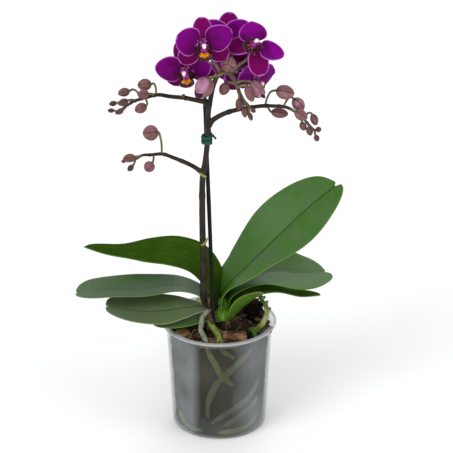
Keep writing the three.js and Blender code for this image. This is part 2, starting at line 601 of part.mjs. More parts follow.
function bloomGroup(bloom) {
  const group = new THREE.Group();
  group.applyMatrix4(bloomFrame(bloom));
  piece(`${bloom.name}_petals`, petalsGeometry(bloom), FINISH.petal, group);
  piece(`${bloom.name}_lip`, lipGeometry(), FINISH.lip, group);
  return group;
}

// ---------------------------------------------------------------- potting mix and tie

/** Four chips that lie at the front, each [centre, size, degrees about Z, tilt]. */
const FRONT_CHIPS = [
  [[12.5, -26.5, 86.4], [20, 9, 6], 3, 12], [[10.5, -15.5, 88], [13, 7.5, 5], -14, 8],
  [[17, -10.5, 88.6], [11, 8, 5], 20, 6], [[-25, -22, 86], [10, 9, 5], 38, 10],
];

function mixGeometry(cutters) {
  const outline = new THREE.Path();
  outline.moveTo(0, MIX.floor);
  outline.lineTo(POT.wallBase - POT.wall - 2.4, MIX.floor);
  outline.lineTo(innerRadius(POT.corner) - GAP, POT.corner + 0.6);
  outline.lineTo(innerRadius(MIX.shoulder) - GAP, MIX.shoulder);
  outline.lineTo(31, MIX.shoulder + 1.2);
  outline.lineTo(18, MIX.dome - 1.8);
  outline.lineTo(0, MIX.dome);
  const core = new THREE.LatheGeometry(outline.getPoints(1), 22).rotateX(Math.PI / 2);
  const next = random(MIX.seed);
  const chips = FRONT_CHIPS.map(([centre, size, turn, tilt]) =>
    new THREE.BoxGeometry(...size).rotateX(rad(tilt)).rotateZ(rad(turn)).translate(...centre));
  for (let i = 0; i < MIX.chips; i++) {
    const radius = 11 + 20 * Math.sqrt(next());
    const angle = 2.4 * i + next();
    const chip = new THREE.BoxGeometry(8 + 5 * next(), 5 + 3 * next(), 4 + 2 * next());
    chip.rotateX(0.5 * next() - 0.25).rotateY(0.5 * next() - 0.25).rotateZ(TURN * next());
    const height = MIX.dome + 0.3 - 4.6 * (radius / 31) ** 2;
    chips.push(chip.translate(radius * Math.cos(angle), radius * Math.sin(angle), height));
  }
  return geometryOf(cut(join([core, ...chips]), cutters));
}

/** A soft band wound twice round stem and stake, with a loose tail. */
function tieGeometry() {
  const [halfX, halfY] = [3.5, 5.4];
  const rings = [];
  const steps = 30;
  const squared = (value) => Math.sign(value) * Math.abs(value) ** (2 / 3);
  for (let i = 0; i <= steps; i++) {
    const angle = (i / steps) * 2.05 * TURN;
    const out = new THREE.Vector3(Math.cos(angle), Math.sin(angle), 0);
    const point = new THREE.Vector3(
      -9.1 + halfX * squared(out.x), -10.7 + halfY * squared(out.y), 243.6 + 0.37 * angle);
    rings.push([[-0.65, 0], [0, -1.1], [0.65, 0], [0, 1.1]].map(([r, z]) =>
      point.clone().addScaledVector(out, r).add(new THREE.Vector3(0, 0, z))));
  }
  const tail = rod([[-5.5, -10.4, 248.4], [-4.4, -13, 250.5], [-1.6, -15, 249]], 0.6, 5, 4);
  return geometryOf(join([skin(rings), tail]));
}

// ---------------------------------------------------------------- assembly

piece('pot', potGeometry(), FINISH.pot);
plant.add(Object.assign(stakeMesh(), { name: 'stake' }));

const stub = join([rod(STUB, stubRadius, 6, 12), ...STUB_NUBS.map(([from, to]) => egg(from, to, 3, 5))]);
const stubCutter = rod(STUB, (t) => stubRadius(t) + GAP, 6, 12);
piece('old_stalk', geometryOf(stub), FINISH.root);

for (const root of ROOTS) {
  piece(root.name, geometryOf(solid(rootRod(root))), root.dead ? FINISH.deadRoot : FINISH.root);
}
const rootCutters = ROOTS.map((root) => rootRod(root, GAP));

piece('spike', spikeGeometry(), FINISH.stem);
const spikeCutter = rod(SPIKE, (t) => spikeRadius(t) + GAP, 6, 26);

for (const spray of SPRAYS) piece(spray.name, sprayGeometry(spray), FINISH.stem);

const thinCutters = [stakeCutter(), stubCutter, spikeCutter, rootCutters[0], rootCutters[1]];
piece('crown', geometryOf(cut(solid(crownRod()), thinCutters)), FINISH.crown);

const leafCutters = [];
for (const leaf of LEAVES) {
  const blade = cut(solid(leafGeometry(leaf)), [crownRod(GAP), ...thinCutters, ...leafCutters]);
  piece(leaf.name, geometryOf(blade), FINISH.leaf);
  leafCutters.push(leafGeometry(leaf, GAP));
}

const mixCutters = [crownRod(GAP), stakeCutter(), stubCutter, ...rootCutters, ...leafCutters];
piece('mix', mixGeometry(mixCutters), FINISH.bark);
piece('tie', tieGeometry(), FINISH.tie);

for (const bud of BIG_BUDS) {
  const shape = bud.parted ? openingBud(bud) : egg(bud.stalk, bud.tip, bud.wide, 8);
  piece(bud.name, shape, FINISH.bud);
}
for (const bloom of BLOOMS) plant.add(bloomGroup(bloom));

export default plant;
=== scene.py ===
# %% [markdown]
# # A potted moth orchid
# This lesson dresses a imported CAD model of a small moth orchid: a translucent nursery pot filled
# with bark, strap leaves, aerial roots, a staked flower stem with three side sprays of buds, and six
# magenta blooms. The CAD solids are a fixed frame that says where everything is. Each step below
# makes one finer piece, lays it where its solid is, and says which solid it stands for. Sizes are
# written in millimetres and turned to metres when a mesh is made. +Z is up, the origin is the centre
# of the pot's flat base, and the blooms face -Y.

# %% Load the frame
import math

import bpy
import numpy as np
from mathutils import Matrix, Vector, noise as value_noise


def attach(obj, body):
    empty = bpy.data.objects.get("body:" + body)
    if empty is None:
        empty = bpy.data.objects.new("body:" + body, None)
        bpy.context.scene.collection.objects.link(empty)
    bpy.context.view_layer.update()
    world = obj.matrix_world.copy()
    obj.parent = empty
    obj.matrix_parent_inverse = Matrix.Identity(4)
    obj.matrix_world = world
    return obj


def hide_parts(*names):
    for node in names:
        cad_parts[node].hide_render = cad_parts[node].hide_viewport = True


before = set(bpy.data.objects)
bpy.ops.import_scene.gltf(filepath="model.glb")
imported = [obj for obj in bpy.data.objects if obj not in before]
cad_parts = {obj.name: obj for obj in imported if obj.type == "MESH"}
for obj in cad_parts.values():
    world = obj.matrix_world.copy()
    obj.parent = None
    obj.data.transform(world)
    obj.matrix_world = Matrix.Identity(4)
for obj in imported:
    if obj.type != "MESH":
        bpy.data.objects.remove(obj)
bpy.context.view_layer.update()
MM = 0.001
scene = bpy.context.scene
print("solids in the frame:", len(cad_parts))

# %% [markdown]
# ## Camera
# The photograph was taken from well away with a long lens, a little above the plant. A camera 2.8 m
# off that looks 25 degrees down gives the same faint perspective: the pot's rim is a flat ellipse and
# the leaves on the left and right are seen slightly from above.

# %% Camera
CAMERA_PLACE = (0.00575, -2.504, 1.342)
CAMERA_DOWN = 25.1
CAMERA_LENS = 282.35

camera_data = bpy.data.cameras.new("camera")
camera_data.lens = CAMERA_LENS
camera_data.sensor_width = 36
camera_data.clip_end = 50
camera = bpy.data.objects.new("camera", camera_data)
camera.location = CAMERA_PLACE
camera.rotation_euler = (math.radians(90 - CAMERA_DOWN), 0, 0)
scene.collection.objects.link(camera)
scene.camera = camera
print("camera", [round(v, 3) for v in camera.location], "looks down", CAMERA_DOWN, "degrees")

# %% [markdown]
# ## Colours and nodes
# Colours are given as sRGB hex values, but Blender mixes light in linear values, so one function
# turns one into the other. A second one sets or links a node's inputs, and a third adds a node to a
# tree and wires it, so that each material and each geometry tree below reads as a short recipe. A
# pattern's scale in a shader is how many times it repeats in a metre, so another function works it
# out from the real size of one spot or grain in millimetres. The last ones hold what nearly all the
# skins share: values that wander with a noise, colours laid over each other, and a fine relief.

# %% Helpers for node trees
COLOURS = {"data_type": "RGBA"}
DARKEN = {"data_type": "RGBA", "blend_type": "MULTIPLY"}
LIGHTEN = {"data_type": "RGBA", "blend_type": "SCREEN"}
MOST_SKINS_SHINE = 0.15


def linear(hex_colour):
    """An sRGB hex colour as the linear RGBA that shaders mix."""
    parts = [int(hex_colour[i : i + 2], 16) / 255 for i in (1, 3, 5)]
    return [c / 12.92 if c <= 0.04045 else ((c + 0.055) / 1.055) ** 2.4 for c in parts] + [1.0]


def socket_of(sockets, name):
    """The socket in use with this name, or with this number where the name is like n1."""
    if name[0] == "n" and name[1:].isdigit():
        return sockets[int(name[1:])]
    return next(s for s in sockets if s.enabled and s.name == name.replace("_", " "))


def wire(tree, node, **inputs):
    """Sets a node's inputs to plain values and sRGB colours, or links them to nodes and sockets."""
    for key, value in inputs.items():
        socket = socket_of(node.inputs, key)
        if isinstance(value, bpy.types.Node):
            value = next(s for s in value.outputs if s.enabled)
        if isinstance(value, bpy.types.NodeSocket):
            tree.links.new(value, socket)
        else:
            socket.default_value = linear(value) if str(value).startswith("#") else value
    return node


def add(tree, kind, settings=None, stops=None, **inputs):
    """Adds a node and wires it; a kind without the word Node is one of the ShaderNode kinds."""
    node = tree.nodes.new(kind if "Node" in kind else "ShaderNode" + kind)
    for key, value in (settings or {}).items():
        setattr(node, key, value)
    if stops:
        for _ in stops[2:]:
            node.color_ramp.elements.new(0.5)
        for element, (place, colour) in zip(node.color_ramp.elements, stops):
            element.position, element.color = place, linear(colour)
    return wire(tree, node, **inputs)


def new_material(name, **surface):
    """A material, its tree, its Principled shader with these values, and a point's place in metres."""
    material = bpy.data.materials.new(name)
    material.use_nodes = True
    tree = material.node_tree
    surface = {"Specular_IOR_Level": MOST_SKINS_SHINE, **surface}
    shader = wire(tree, tree.nodes["Principled BSDF"], **surface)
    return material, tree, shader, add(tree, "TexCoord").outputs["Object"]


def per_metre(size_mm):
    """How often a pattern whose features are this big repeats in a metre."""
    return 1000 / size_mm


def swayed(tree, value, *sways):
    """A value pushed up and down by noises; each sway is (noise, how far at most)."""
    for noise, most in sways:
        shift = add(tree, "MapRange", Value=noise, n1=0.3, n2=0.7, n3=-most, n4=most)
        value = add(tree, "Math", {"operation": "ADD"}, n0=value, n1=shift)
    return value


def laid_over(tree, base, colour, value, low, high, start, end, way=COLOURS):
    """A colour laid over another; its strength goes from start to end as a value goes from low to high."""
    strength = add(tree, "MapRange", Value=value, n1=low, n2=high, n3=start, n4=end)
    return add(tree, "Mix", way, Factor=strength, A=base, B=colour)


def dress(tree, shader, colour, *bumps, **inputs):
    """Gives a shader its colour and its relief; each bump is (height, strength, depth in mm)."""
    relief = {}
    for height, strength, depth in bumps:
        bump = add(tree, "Bump", Height=height, Strength=strength, Distance=depth * MM, **relief)
        relief = {"Normal": bump}
    wire(tree, shader, Base_Color=colour, **relief, **inputs)


def streaked_skin(name, roughness, stops, size, strength, depth, stretch=1.0):
    """A skin coloured by a noise of this size in mm, drawn out upwards where stretch is under 1."""
    material, tree, shader, place = new_material(name, Roughness=roughness)
    drawn = add(tree, "Mapping", Vector=place, Scale=(1.0, 1.0, stretch))
    streaks = add(tree, "TexNoise", Vector=drawn, Scale=per_metre(size), Detail=3.0)
    dress(tree, shader, add(tree, "ValToRGB", stops=stops, Fac=streaks), (streaks, strength, depth))
    return material


print("linear mid grey:", [round(c, 3) for c in linear("#808080")])

# %% [markdown]
# ## Curves, blades and tubes
# Nearly every part of a plant is a tube or a blade that follows a curve. The curves are
# Catmull-Rom splines, which pass through every given point, and they are measured along their
# length so that widths and colours stay evenly spaced. A blade is a grid of points given a thickness
# that thins to a rounded edge: leaves and petals are both blades.

# %% Curves and meshes
TURN = 2 * math.pi


def smooth_curve(points, count=300):
    """Evenly spaced points on a centripetal Catmull-Rom curve through the given ones."""
    p = np.asarray(points, float)
    p = np.vstack([2 * p[0] - p[1], p, 2 * p[-1] - p[-2]])
    u = np.linspace(0, 1, 40, endpoint=False)[:, None]
    spans = []
    for a, b, c, d in zip(p, p[1:], p[2:], p[3:]):
        before, span, after = [max(np.linalg.norm(y - x), 1e-6) ** 0.5 for x, y in ((a, b), (b, c), (c, d))]
        m1 = ((b - a) / before - (c - a) / (before + span) + (c - b) / span) * span
        m2 = ((c - b) / span - (d - b) / (span + after) + (d - c) / after) * span
        spans.append(b + u * m1 + u**2 * (3 * (c - b) - 2 * m1 - m2) + u**3 * (2 * (b - c) + m1 + m2))
    fine = np.vstack(spans + [p[-2][None, :]])
    walked = np.concatenate([[0], np.cumsum(np.linalg.norm(np.diff(fine, axis=0), axis=1))])
    place = np.linspace(0, walked[-1], count)
    return np.stack([np.interp(place, walked, fine[:, k]) for k in range(3)], axis=1)


def at(curve, t):
    """The points of an evenly spaced curve at shares 0..1 of its length."""
    place = np.linspace(0, 1, len(curve))
    return np.stack([np.interp(t, place, curve[:, k]) for k in range(3)], axis=-1)


def eased(count):
    """Shares from 0 to 1 that lie closer together at both ends."""
    return (1 - np.cos(np.linspace(0, math.pi, count))) / 2


def across(columns):
    """A row from -1 to 1 across a blade, closer together towards its margins."""
    return np.sin(np.linspace(-1, 1, columns) * math.pi / 2)[None, :]


def unit(v):
    """Vectors scaled to a length of one."""
    return v / np.maximum(np.linalg.norm(v, axis=-1, keepdims=True), 1e-9)


def length_of(points):
    """The length of a line through points."""
    return float(np.linalg.norm(np.diff(np.asarray(points, float), axis=0), axis=1).sum())


def new_piece(name, part, *materials, smooth=True):
    """A mesh object from a part: points in mm, faces, uv, per-point values, face materials."""
    mesh = bpy.data.meshes.new(name)
    mesh.from_pydata((part["points"] * MM).tolist(), [], [tuple(map(int, f)) for f in part["faces"]])
    mesh.polygons.foreach_set("use_smooth", np.full(len(mesh.polygons), smooth))
    corner = np.zeros(len(mesh.loops), np.int64)
    mesh.loops.foreach_get("vertex_index", corner)
    layer = mesh.uv_layers.new(name="along")
    layer.data.foreach_set("uv", part["uv"].astype(np.float32)[corner].ravel())
    for key, value in part["values"].items():
        attribute = mesh.attributes.new(key, "FLOAT", "POINT")
        attribute.data.foreach_set("value", value.astype(np.float32))
    for material in materials:
        mesh.materials.append(material)
    mesh.polygons.foreach_set("material_index", part["which"].astype(np.int32))
    piece = bpy.data.objects.new(name, mesh)
    scene.collection.objects.link(piece)
    return piece


def new_part(points, faces, uv, which=0, **values):
    """A part of a mesh; each value and material number may be one number or one for each."""
    count = len(points)
    return {
        "points": np.asarray(points, float), "faces": list(faces), "uv": np.asarray(uv, float),
        "values": {key: np.broadcast_to(np.asarray(v, float), count).copy() for key, v in values.items()},
        "which": np.broadcast_to(np.asarray(which), len(faces)).copy(),
    }


def joined(parts):
    """Several parts as one."""
    starts = np.cumsum([0] + [len(p["points"]) for p in parts])
    faces = [[int(i) + start for i in face] for p, start in zip(parts, starts) for face in p["faces"]]
    return {
        "points": np.concatenate([p["points"] for p in parts]), "faces": faces,
        "uv": np.concatenate([p["uv"] for p in parts]),
        "values": {k: np.concatenate([p["values"][k] for p in parts]) for k in parts[0]["values"]},
        "which": np.concatenate([p["which"] for p in parts]),
    }


def blade_shell(middle, thick):
    """Closes a grid of points [row, column] into a thin shell; thick is in millimetres at each."""
    along = np.gradient(middle, axis=0)
    across = np.gradient(middle, axis=1)
    normal = unit(np.cross(across, along))
    rows, columns = middle.shape[:2]
    half = thick[..., None] / 2
    points = np.stack([middle + normal * half, middle - normal * half]).reshape(-1, 3)
    size = rows * columns
    number = np.arange(size).reshape(rows, columns)
    a, b, c, d = number[:-1, :-1], number[:-1, 1:], number[1:, 1:], number[1:, :-1]
    top = np.stack([a, b, c, d], axis=-1).reshape(-1, 4)
    rim = np.concatenate([number[0, :-1], number[:-1, -1], number[-1, :0:-1], number[:0:-1, 0]])
    after = np.roll(rim, -1)
    wall = np.stack([after, rim, rim + size, after + size], axis=-1)
    return points, np.concatenate([top, top[:, ::-1] + size, wall]), len(top)


def blade_part(grid, thick, v, t, **values):
    """A thin blade from its middle grid, v across and t along, with its back in the next material."""
    points, faces, top = blade_shell(grid, thick)
    uv = np.stack(np.broadcast_arrays((v + 1) / 2, t), axis=-1).reshape(-1, 2)
    which = (np.arange(len(faces)) >= top) & (np.arange(len(faces)) < 2 * top)
    both = {key: np.tile(np.broadcast_to(x, grid.shape[:2]).ravel(), 2) for key, x in values.items()}
    return new_part(points, faces, np.tile(uv, (2, 1)), which.astype(int), **both)


def ring_faces(rows, around):
    """The side faces of a body whose points are rings [row, column]."""
    number = np.arange(rows * around).reshape(rows, around)
    side = np.roll(number, -1, axis=1)
    return np.stack([number[:-1], side[:-1], side[1:], number[1:]], axis=-1).reshape(-1, 4).tolist()


def ring_part(points, t, angle, which=0, **values):
    """A closed body from rings of points [row, column], with a flat face over each end."""
    rows, around = points.shape[:2]
    faces = ring_faces(rows, around)
    faces += [list(range(around))[::-1], list(range((rows - 1) * around, rows * around))]
    uv = np.stack(np.broadcast_arrays(angle[None, :] / TURN, t[:, None]), axis=-1).reshape(-1, 2)
    return new_part(points.reshape(-1, 3), faces, uv, which, **values)


def finish_piece(piece, slot, *nodes):
    """Says where a finished piece belongs: it rides on the one body and stands for its solids."""
    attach(piece, "root")
    if nodes:
        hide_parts(*nodes)
    print(f"{piece.name}: {len(piece.data.polygons)} faces for {', '.join(nodes) or 'no solid'}")


# %% [markdown]
# Stems, stalks and roots are all made by one Geometry Nodes tree. It sweeps a circle along each
# path, scales it by the radius stored on the path's points, pushes the skin in and out with a smooth
# noise so that it isn't machine-round, and keeps how far along each point is for the materials. The
# tree ends by realising what it made and setting the material, because only plain meshes are
# exported.

# %% The tube tree
def group_tree(name, **inputs):
    """An empty Geometry Nodes tree with its named inputs; returns tree, input node, output node, ids."""
    tree = bpy.data.node_groups.new(name, "GeometryNodeTree")
    tree.interface.new_socket("Geometry", in_out="INPUT", socket_type="NodeSocketGeometry")
    ids = {}
    inputs = {**inputs, "Bump height": "Float", "Bump size": "Float", "Material": "Material"}
    for label, kind in inputs.items():
        socket = tree.interface.new_socket(label, in_out="INPUT", socket_type=f"NodeSocket{kind}")
        ids[label] = socket.identifier
    tree.interface.new_socket("Geometry", in_out="OUTPUT", socket_type="NodeSocketGeometry")
    return tree, tree.nodes.new("NodeGroupInput"), tree.nodes.new("NodeGroupOutput"), ids


def pushed(tree, given, geometry):
    """A step of a tree that pushes a skin in and out with a noise of the given height and size."""
    noise = add(tree, "TexNoise", Vector=add(tree, "GeometryNodeInputPosition"),
                Scale=given.outputs["Bump size"], Detail=2.0)
    centred = add(tree, "Math", {"operation": "SUBTRACT"}, n0=noise, n1=0.5)
    height = add(tree, "Math", {"operation": "MULTIPLY"}, n0=centred, n1=given.outputs["Bump height"])
    outward = add(tree, "GeometryNodeInputNormal")
    push = add(tree, "VectorMath", {"operation": "SCALE"}, n0=outward, Scale=height)
    return add(tree, "GeometryNodeSetPosition", Geometry=geometry, Offset=push)


def run_tree(data, tree, ids, name, bump, grain, **values):
    """Runs a tree on a curve or mesh with its inputs set, and leaves one plain mesh object."""
    carrier = bpy.data.objects.new(name, data)
    scene.collection.objects.link(carrier)
    modifier = carrier.modifiers.new("make", "NODES")
    modifier.node_group = tree
    for label, value in {**values, "Bump height": bump * MM, "Bump size": grain}.items():
        modifier[ids[label]] = value
    graph = bpy.context.evaluated_depsgraph_get()
    mesh = bpy.data.meshes.new_from_object(carrier.evaluated_get(graph), depsgraph=graph)
    bpy.data.objects.remove(carrier)
    mesh.name = name
    piece = bpy.data.objects.new(name, mesh)
    scene.collection.objects.link(piece)
    return piece


tube_tree, given, made, tube_ids = group_tree("tube along a path", Sides="Int")
spline = add(tube_tree, "GeometryNodeSplineParameter")
path = given.outputs["Geometry"]
for label, measure in (("length", "Length"), ("share", "Factor")):
    path = add(tube_tree, "GeometryNodeStoreNamedAttribute", {"data_type": "FLOAT", "domain": "POINT"},
               Geometry=path, Name=label, Value=spline.outputs[measure])
circle = add(tube_tree, "GeometryNodeCurvePrimitiveCircle", Resolution=given.outputs["Sides"], Radius=1.0)
skin = add(tube_tree, "GeometryNodeCurveToMesh", Curve=path, Profile_Curve=circle, Fill_Caps=True,
           Scale=add(tube_tree, "GeometryNodeInputRadius"))
smooth = add(tube_tree, "GeometryNodeSetShadeSmooth", Geometry=pushed(tube_tree, given, skin))
real = add(tube_tree, "GeometryNodeRealizeInstances", Geometry=smooth)
painted = add(tube_tree, "GeometryNodeSetMaterial", Geometry=real, Material=given.outputs["Material"])
wire(tube_tree, made, Geometry=painted)


def tubes(name, paths, material, sides=14, bump=0.0, grain=300.0, step=1.2):
    """Tubes along paths; each path is (points in mm, radius in mm as a number or function of 0..1)."""
    curve = bpy.data.curves.new(name, "CURVE")
    curve.dimensions = "3D"
    for points, radius in paths:
        count = max(6, int(length_of(points) / step))
        fine = smooth_curve(points, count)
        sizes = [radius(t) if callable(radius) else radius for t in np.linspace(0, 1, count)]
        spline = curve.splines.new("POLY")
        spline.points.add(count - 1)
        spline.points.foreach_set("co", np.hstack([fine * MM, np.ones((count, 1))]).ravel())
        spline.points.foreach_set("radius", np.array(sizes) * MM)
    return run_tree(curve, tube_tree, tube_ids, name, bump, grain, Sides=sides, Material=material)


print("tube tree nodes:", len(tube_tree.nodes))

# %% [markdown]
# ## Floor and light
# The plant stands in a plain bright studio. The floor is a pale matt sheet, big enough that no edge
# shows from any side. The light is soft and comes from all round, with one large panel high on the
# left that models the leaves, a weaker one on the right, and a low one in front that opens up the
# shade under the blooms.

# %% Floor
FLOOR_HALF = 6
floor_material, tree, shader, place = new_material("painted studio floor", Roughness=0.9)
shade = add(tree, "TexNoise", Vector=place, Scale=per_metre(400))
wire(tree, shader, Base_Color=add(tree, "Mix", COLOURS, Factor=shade, A="#f4f4f3", B="#f9f9f8"))
floor_mesh = bpy.data.meshes.new("floor")
corners = [(x * FLOOR_HALF, y * FLOOR_HALF, 0) for x, y in ((-1, -1), (1, -1), (1, 1), (-1, 1))]
floor_mesh.from_pydata(corners, [], [(0, 1, 2, 3)])
floor_mesh.materials.append(floor_material)
floor = bpy.data.objects.new("floor", floor_mesh)
scene.collection.objects.link(floor)
print("floor half width", FLOOR_HALF, "m")

# %% Lights
PANELS = {
    "key panel": ((-1.5, -1.6, 1.9), 1.5, 34),
    "side panel": ((1.7, -0.9, 1.1), 1.2, 9),
    "front panel": ((0.1, -2.2, 0.5), 1.0, 6),
    "back panel": ((0.4, 1.9, 1.6), 1.4, 12),
}
PLANT_MIDDLE = Vector((0, 0, 0.17))
for name, (place, size, power) in PANELS.items():
    lamp = bpy.data.lights.new(name, "AREA")
    lamp.size, lamp.energy = size, power
    panel = bpy.data.objects.new(name, lamp)
    panel.location = place
    panel.rotation_euler = (PLANT_MIDDLE - panel.location).to_track_quat("-Z", "Y").to_euler()
    scene.collection.objects.link(panel)
    print(name, place, power, "W")
scene.world = bpy.data.worlds.new("studio")
scene.world.use_nodes = True
sky = scene.world.node_tree.nodes["Background"]
sky.inputs["Color"].default_value = linear("#fbfcff")
sky.inputs["Strength"].default_value = 0.75
scene.view_settings.view_transform = "Standard"

# %% [markdown]
# ## The pot
# The real pot is thin injection-moulded polypropylene, left uncoloured, so it is milky and lets the
# dark bark and the roots show through as soft shadows. It is a solid of revolution, so its outline is
# drawn once and turned round the axis. The film is made see-through by its alpha, which needs no
# heavy light tracing, and a fine noise varies how milky it is, as water marks and dust do. Light and
# shade are painted into the film's colour: it is painted dark in the middle of the front and back as
# painted shade, and lighter at the left and right sides as painted light that falls in through the wall,
# and a little lighter towards the bottom; above the bark it stays pale.

# %% Pot material
film, tree, shader, place = new_material("moulded milky polypropylene", IOR=1.49, Specular_IOR_Level=0.1)
clouds = add(tree, "TexNoise", Vector=place, Scale=per_metre(30), Detail=3.0)
streak_place = add(tree, "Mapping", Vector=place, Scale=(1.0, 1.0, 0.12))
streaks = add(tree, "TexNoise", Vector=streak_place, Scale=per_metre(4), Detail=4.0)
side = add(tree, "SeparateXYZ", Vector=place)
# Painted light: left and right mark the sides of the film, where light falls in through the wall, and bottom
# lightens it a little towards the bottom.
left = add(tree, "MapRange", Value=side.outputs["X"], n1=-0.0145, n2=-0.0215)
right = add(tree, "MapRange", Value=side.outputs["X"], n1=0.009, n2=0.027)
bottom = add(tree, "MapRange", Value=side.outputs["Z"], n1=0.006, n2=0.022, n3=0.35, n4=0.0)
above = add(tree, "MapRange", Value=side.outputs["Z"], n1=0.0825, n2=0.086)
# dry is the share of painted light a point gets, from the lit sides and the bottom.
dry = add(tree, "Math", {"operation": "MAXIMUM"}, n0=left, n1=right)
dry = add(tree, "Math", {"operation": "MAXIMUM"}, n0=dry, n1=bottom)
# The film's colours in painted shade, in the middle, and in painted light, at the sides.
shaded_film_tone = add(tree, "ValToRGB", stops=[(0.3, "#44423b"), (0.7, "#545249")], Fac=clouds)
lit_film_tone = add(tree, "ValToRGB", stops=[(0.3, "#909698"), (0.7, "#a2a6a6")], Fac=clouds)
tone = add(tree, "Mix", COLOURS, Factor=dry, A=shaded_film_tone, B=lit_film_tone)
milk = add(tree, "Mix", COLOURS, Factor=above, A=tone, B="#c0c3c4")
specks = add(tree, "TexVoronoi", Vector=place, Scale=per_metre(9))
dusty = laid_over(tree, "#3a302a", milk, specks.outputs["Distance"], 0.035, 0.06, 0.0, 1.0)
# The film covers a little less where the painted light falls.
cover = add(tree, "MapRange", Value=dry, n3=0.34, n4=0.3)
for value, span in ((clouds, dict(n1=0.35, n2=0.65, n3=-0.05, n4=0.05)), (above, dict(n3=0.0, n4=-0.16))):
    more = add(tree, "MapRange", Value=value, **span)
    cover = add(tree, "Math", {"operation": "ADD"}, n0=cover, n1=more)
solid = add(tree, "Attribute", {"attribute_name": "solid"}).outputs["Fac"]
cover = add(tree, "Math", {"operation": "MAXIMUM"}, n0=cover, n1=solid)
rough = add(tree, "MapRange", Value=streaks, n1=0.3, n2=0.7, n3=0.28, n4=0.42)
dress(tree, shader, dusty, (streaks, 0.12, 0.4), Alpha=cover, Roughness=rough)
print("film:", film.name)

# %% Pot
POT_HEIGHT, RIM_RADIUS, RIM_DROP = 88.0, 45.0, 1.4
WALL_TOP, WALL_BASE, WALL, CORNER, FLOOR = 41.7, 36.9, 1.2, 4.0, 1.6
HOLES, HOLE_RADIUS, HOLE_RING = 6, 3.5, 22.0


def inner_radius(z):
    """Radius of the pot's inner wall at a height."""
    return WALL_BASE + (WALL_TOP - WALL_BASE) * (z - CORNER) / (POT_HEIGHT - CORNER) - WALL


def arc(centre, radius, start, end, count):
    """Points on an arc of an outline, from one angle in degrees to another."""
    angles = np.radians(np.linspace(start, end, count))
    return [(centre[0] + radius * math.cos(a), centre[1] + radius * math.sin(a)) for a in angles]


def lathe(outline, around, **values):
    """A closed body of revolution; the outline starts and ends on the axis."""
    ring = np.linspace(0, TURN, around, endpoint=False)
    inner = np.asarray(outline[1:-1], float)
    points = np.stack([inner[:, 0, None] * np.sin(ring), -inner[:, 0, None] * np.cos(ring),
                       np.repeat(inner[:, 1, None], around, axis=1)], axis=-1).reshape(-1, 3)
    points = np.vstack([points, [0, 0, outline[0][1]], [0, 0, outline[-1][1]]])
    faces = ring_faces(len(inner), around)
    after, first, end = np.roll(np.arange(around), -1).tolist(), len(points) - 2, (len(inner) - 1) * around
    faces += [(b, a, first) for a, b in enumerate(after)]
    faces += [(a + end, b + end, first + 1) for a, b in enumerate(after)]
    uv = np.stack([np.arctan2(points[:, 0], -points[:, 1]) / TURN, points[:, 2] / 100], axis=1)
    return new_part(points, faces, uv, **values)


lip = POT_HEIGHT - RIM_DROP
outline = [(0, 0), (HOLE_RING + 8, 0), (WALL_BASE - CORNER, 0)]
outline += arc((WALL_BASE - CORNER, CORNER), CORNER, -75, 0, 7)
outline += [(WALL_BASE + (WALL_TOP - WALL_BASE) * s, CORNER + (lip - CORNER) * s)
            for s in np.linspace(0.04, 0.985, 24)]
outline += arc((RIM_RADIUS - 0.7, lip + 0.7), 0.7, -90, 0, 5)
outline += arc((RIM_RADIUS - 0.8, POT_HEIGHT - 0.8), 0.8, 10, 90, 5)
outline += arc((WALL_TOP - WALL + 0.9, POT_HEIGHT - 0.9), 0.9, 90, 180, 5)
outline += [(inner_radius(z), z) for z in np.linspace(lip - 1, CORNER, 12)]
outline += [(WALL_BASE - WALL - 2.2, FLOOR), (HOLE_RING + 8, FLOOR), (0, FLOOR)]
part = lathe(outline, 128, solid=0.0)
height, radius = part["points"][:, 2], np.hypot(part["points"][:, 0], part["points"][:, 1])
part["values"]["solid"] = (np.clip((height - lip + 0.5) / 0.7, 0, 1)
                           * np.interp(radius, [RIM_RADIUS - 2.4, RIM_RADIUS - 1.2], [0.3, 0.62]))
pot = new_piece("nursery_pot", part, film)

drills = []
for i in range(HOLES):
    x, y = HOLE_RING * math.cos(i * TURN / HOLES), HOLE_RING * math.sin(i * TURN / HOLES)
    hole = lathe([(0, -4), (HOLE_RADIUS, -4), (HOLE_RADIUS, 6), (0, 6)], 32, solid=0.0)
    hole["points"] += [x, y, 0]
    drills.append(hole)
drill = new_piece("drill", joined(drills), film)
cut = pot.modifiers.new("holes", "BOOLEAN")
cut.object, cut.operation, cut.solver = drill, "DIFFERENCE", "EXACT"
graph = bpy.context.evaluated_depsgraph_get()
drilled = bpy.data.meshes.new_from_object(pot.evaluated_get(graph), depsgraph=graph)
pot.modifiers.clear()
pot.data = drilled
bpy.data.objects.remove(drill)
finish_piece(pot, "pot", "pot")

# %% [markdown]
# ## Leaves
# Moth orchid leaves are thick, leathery straps with a wax coat. Each one is folded a little along a
# grooved midrib, and the fine veins run lengthwise without branching. The colour changes with age and
# light, from deep green to a dull grey-green, with a thin brighter margin. The material follows the
# blade: the UV map says how far across and along a point is, and a stored value gives its distance
# from the margin in millimetres, so veins and margin stay true to size on every leaf.

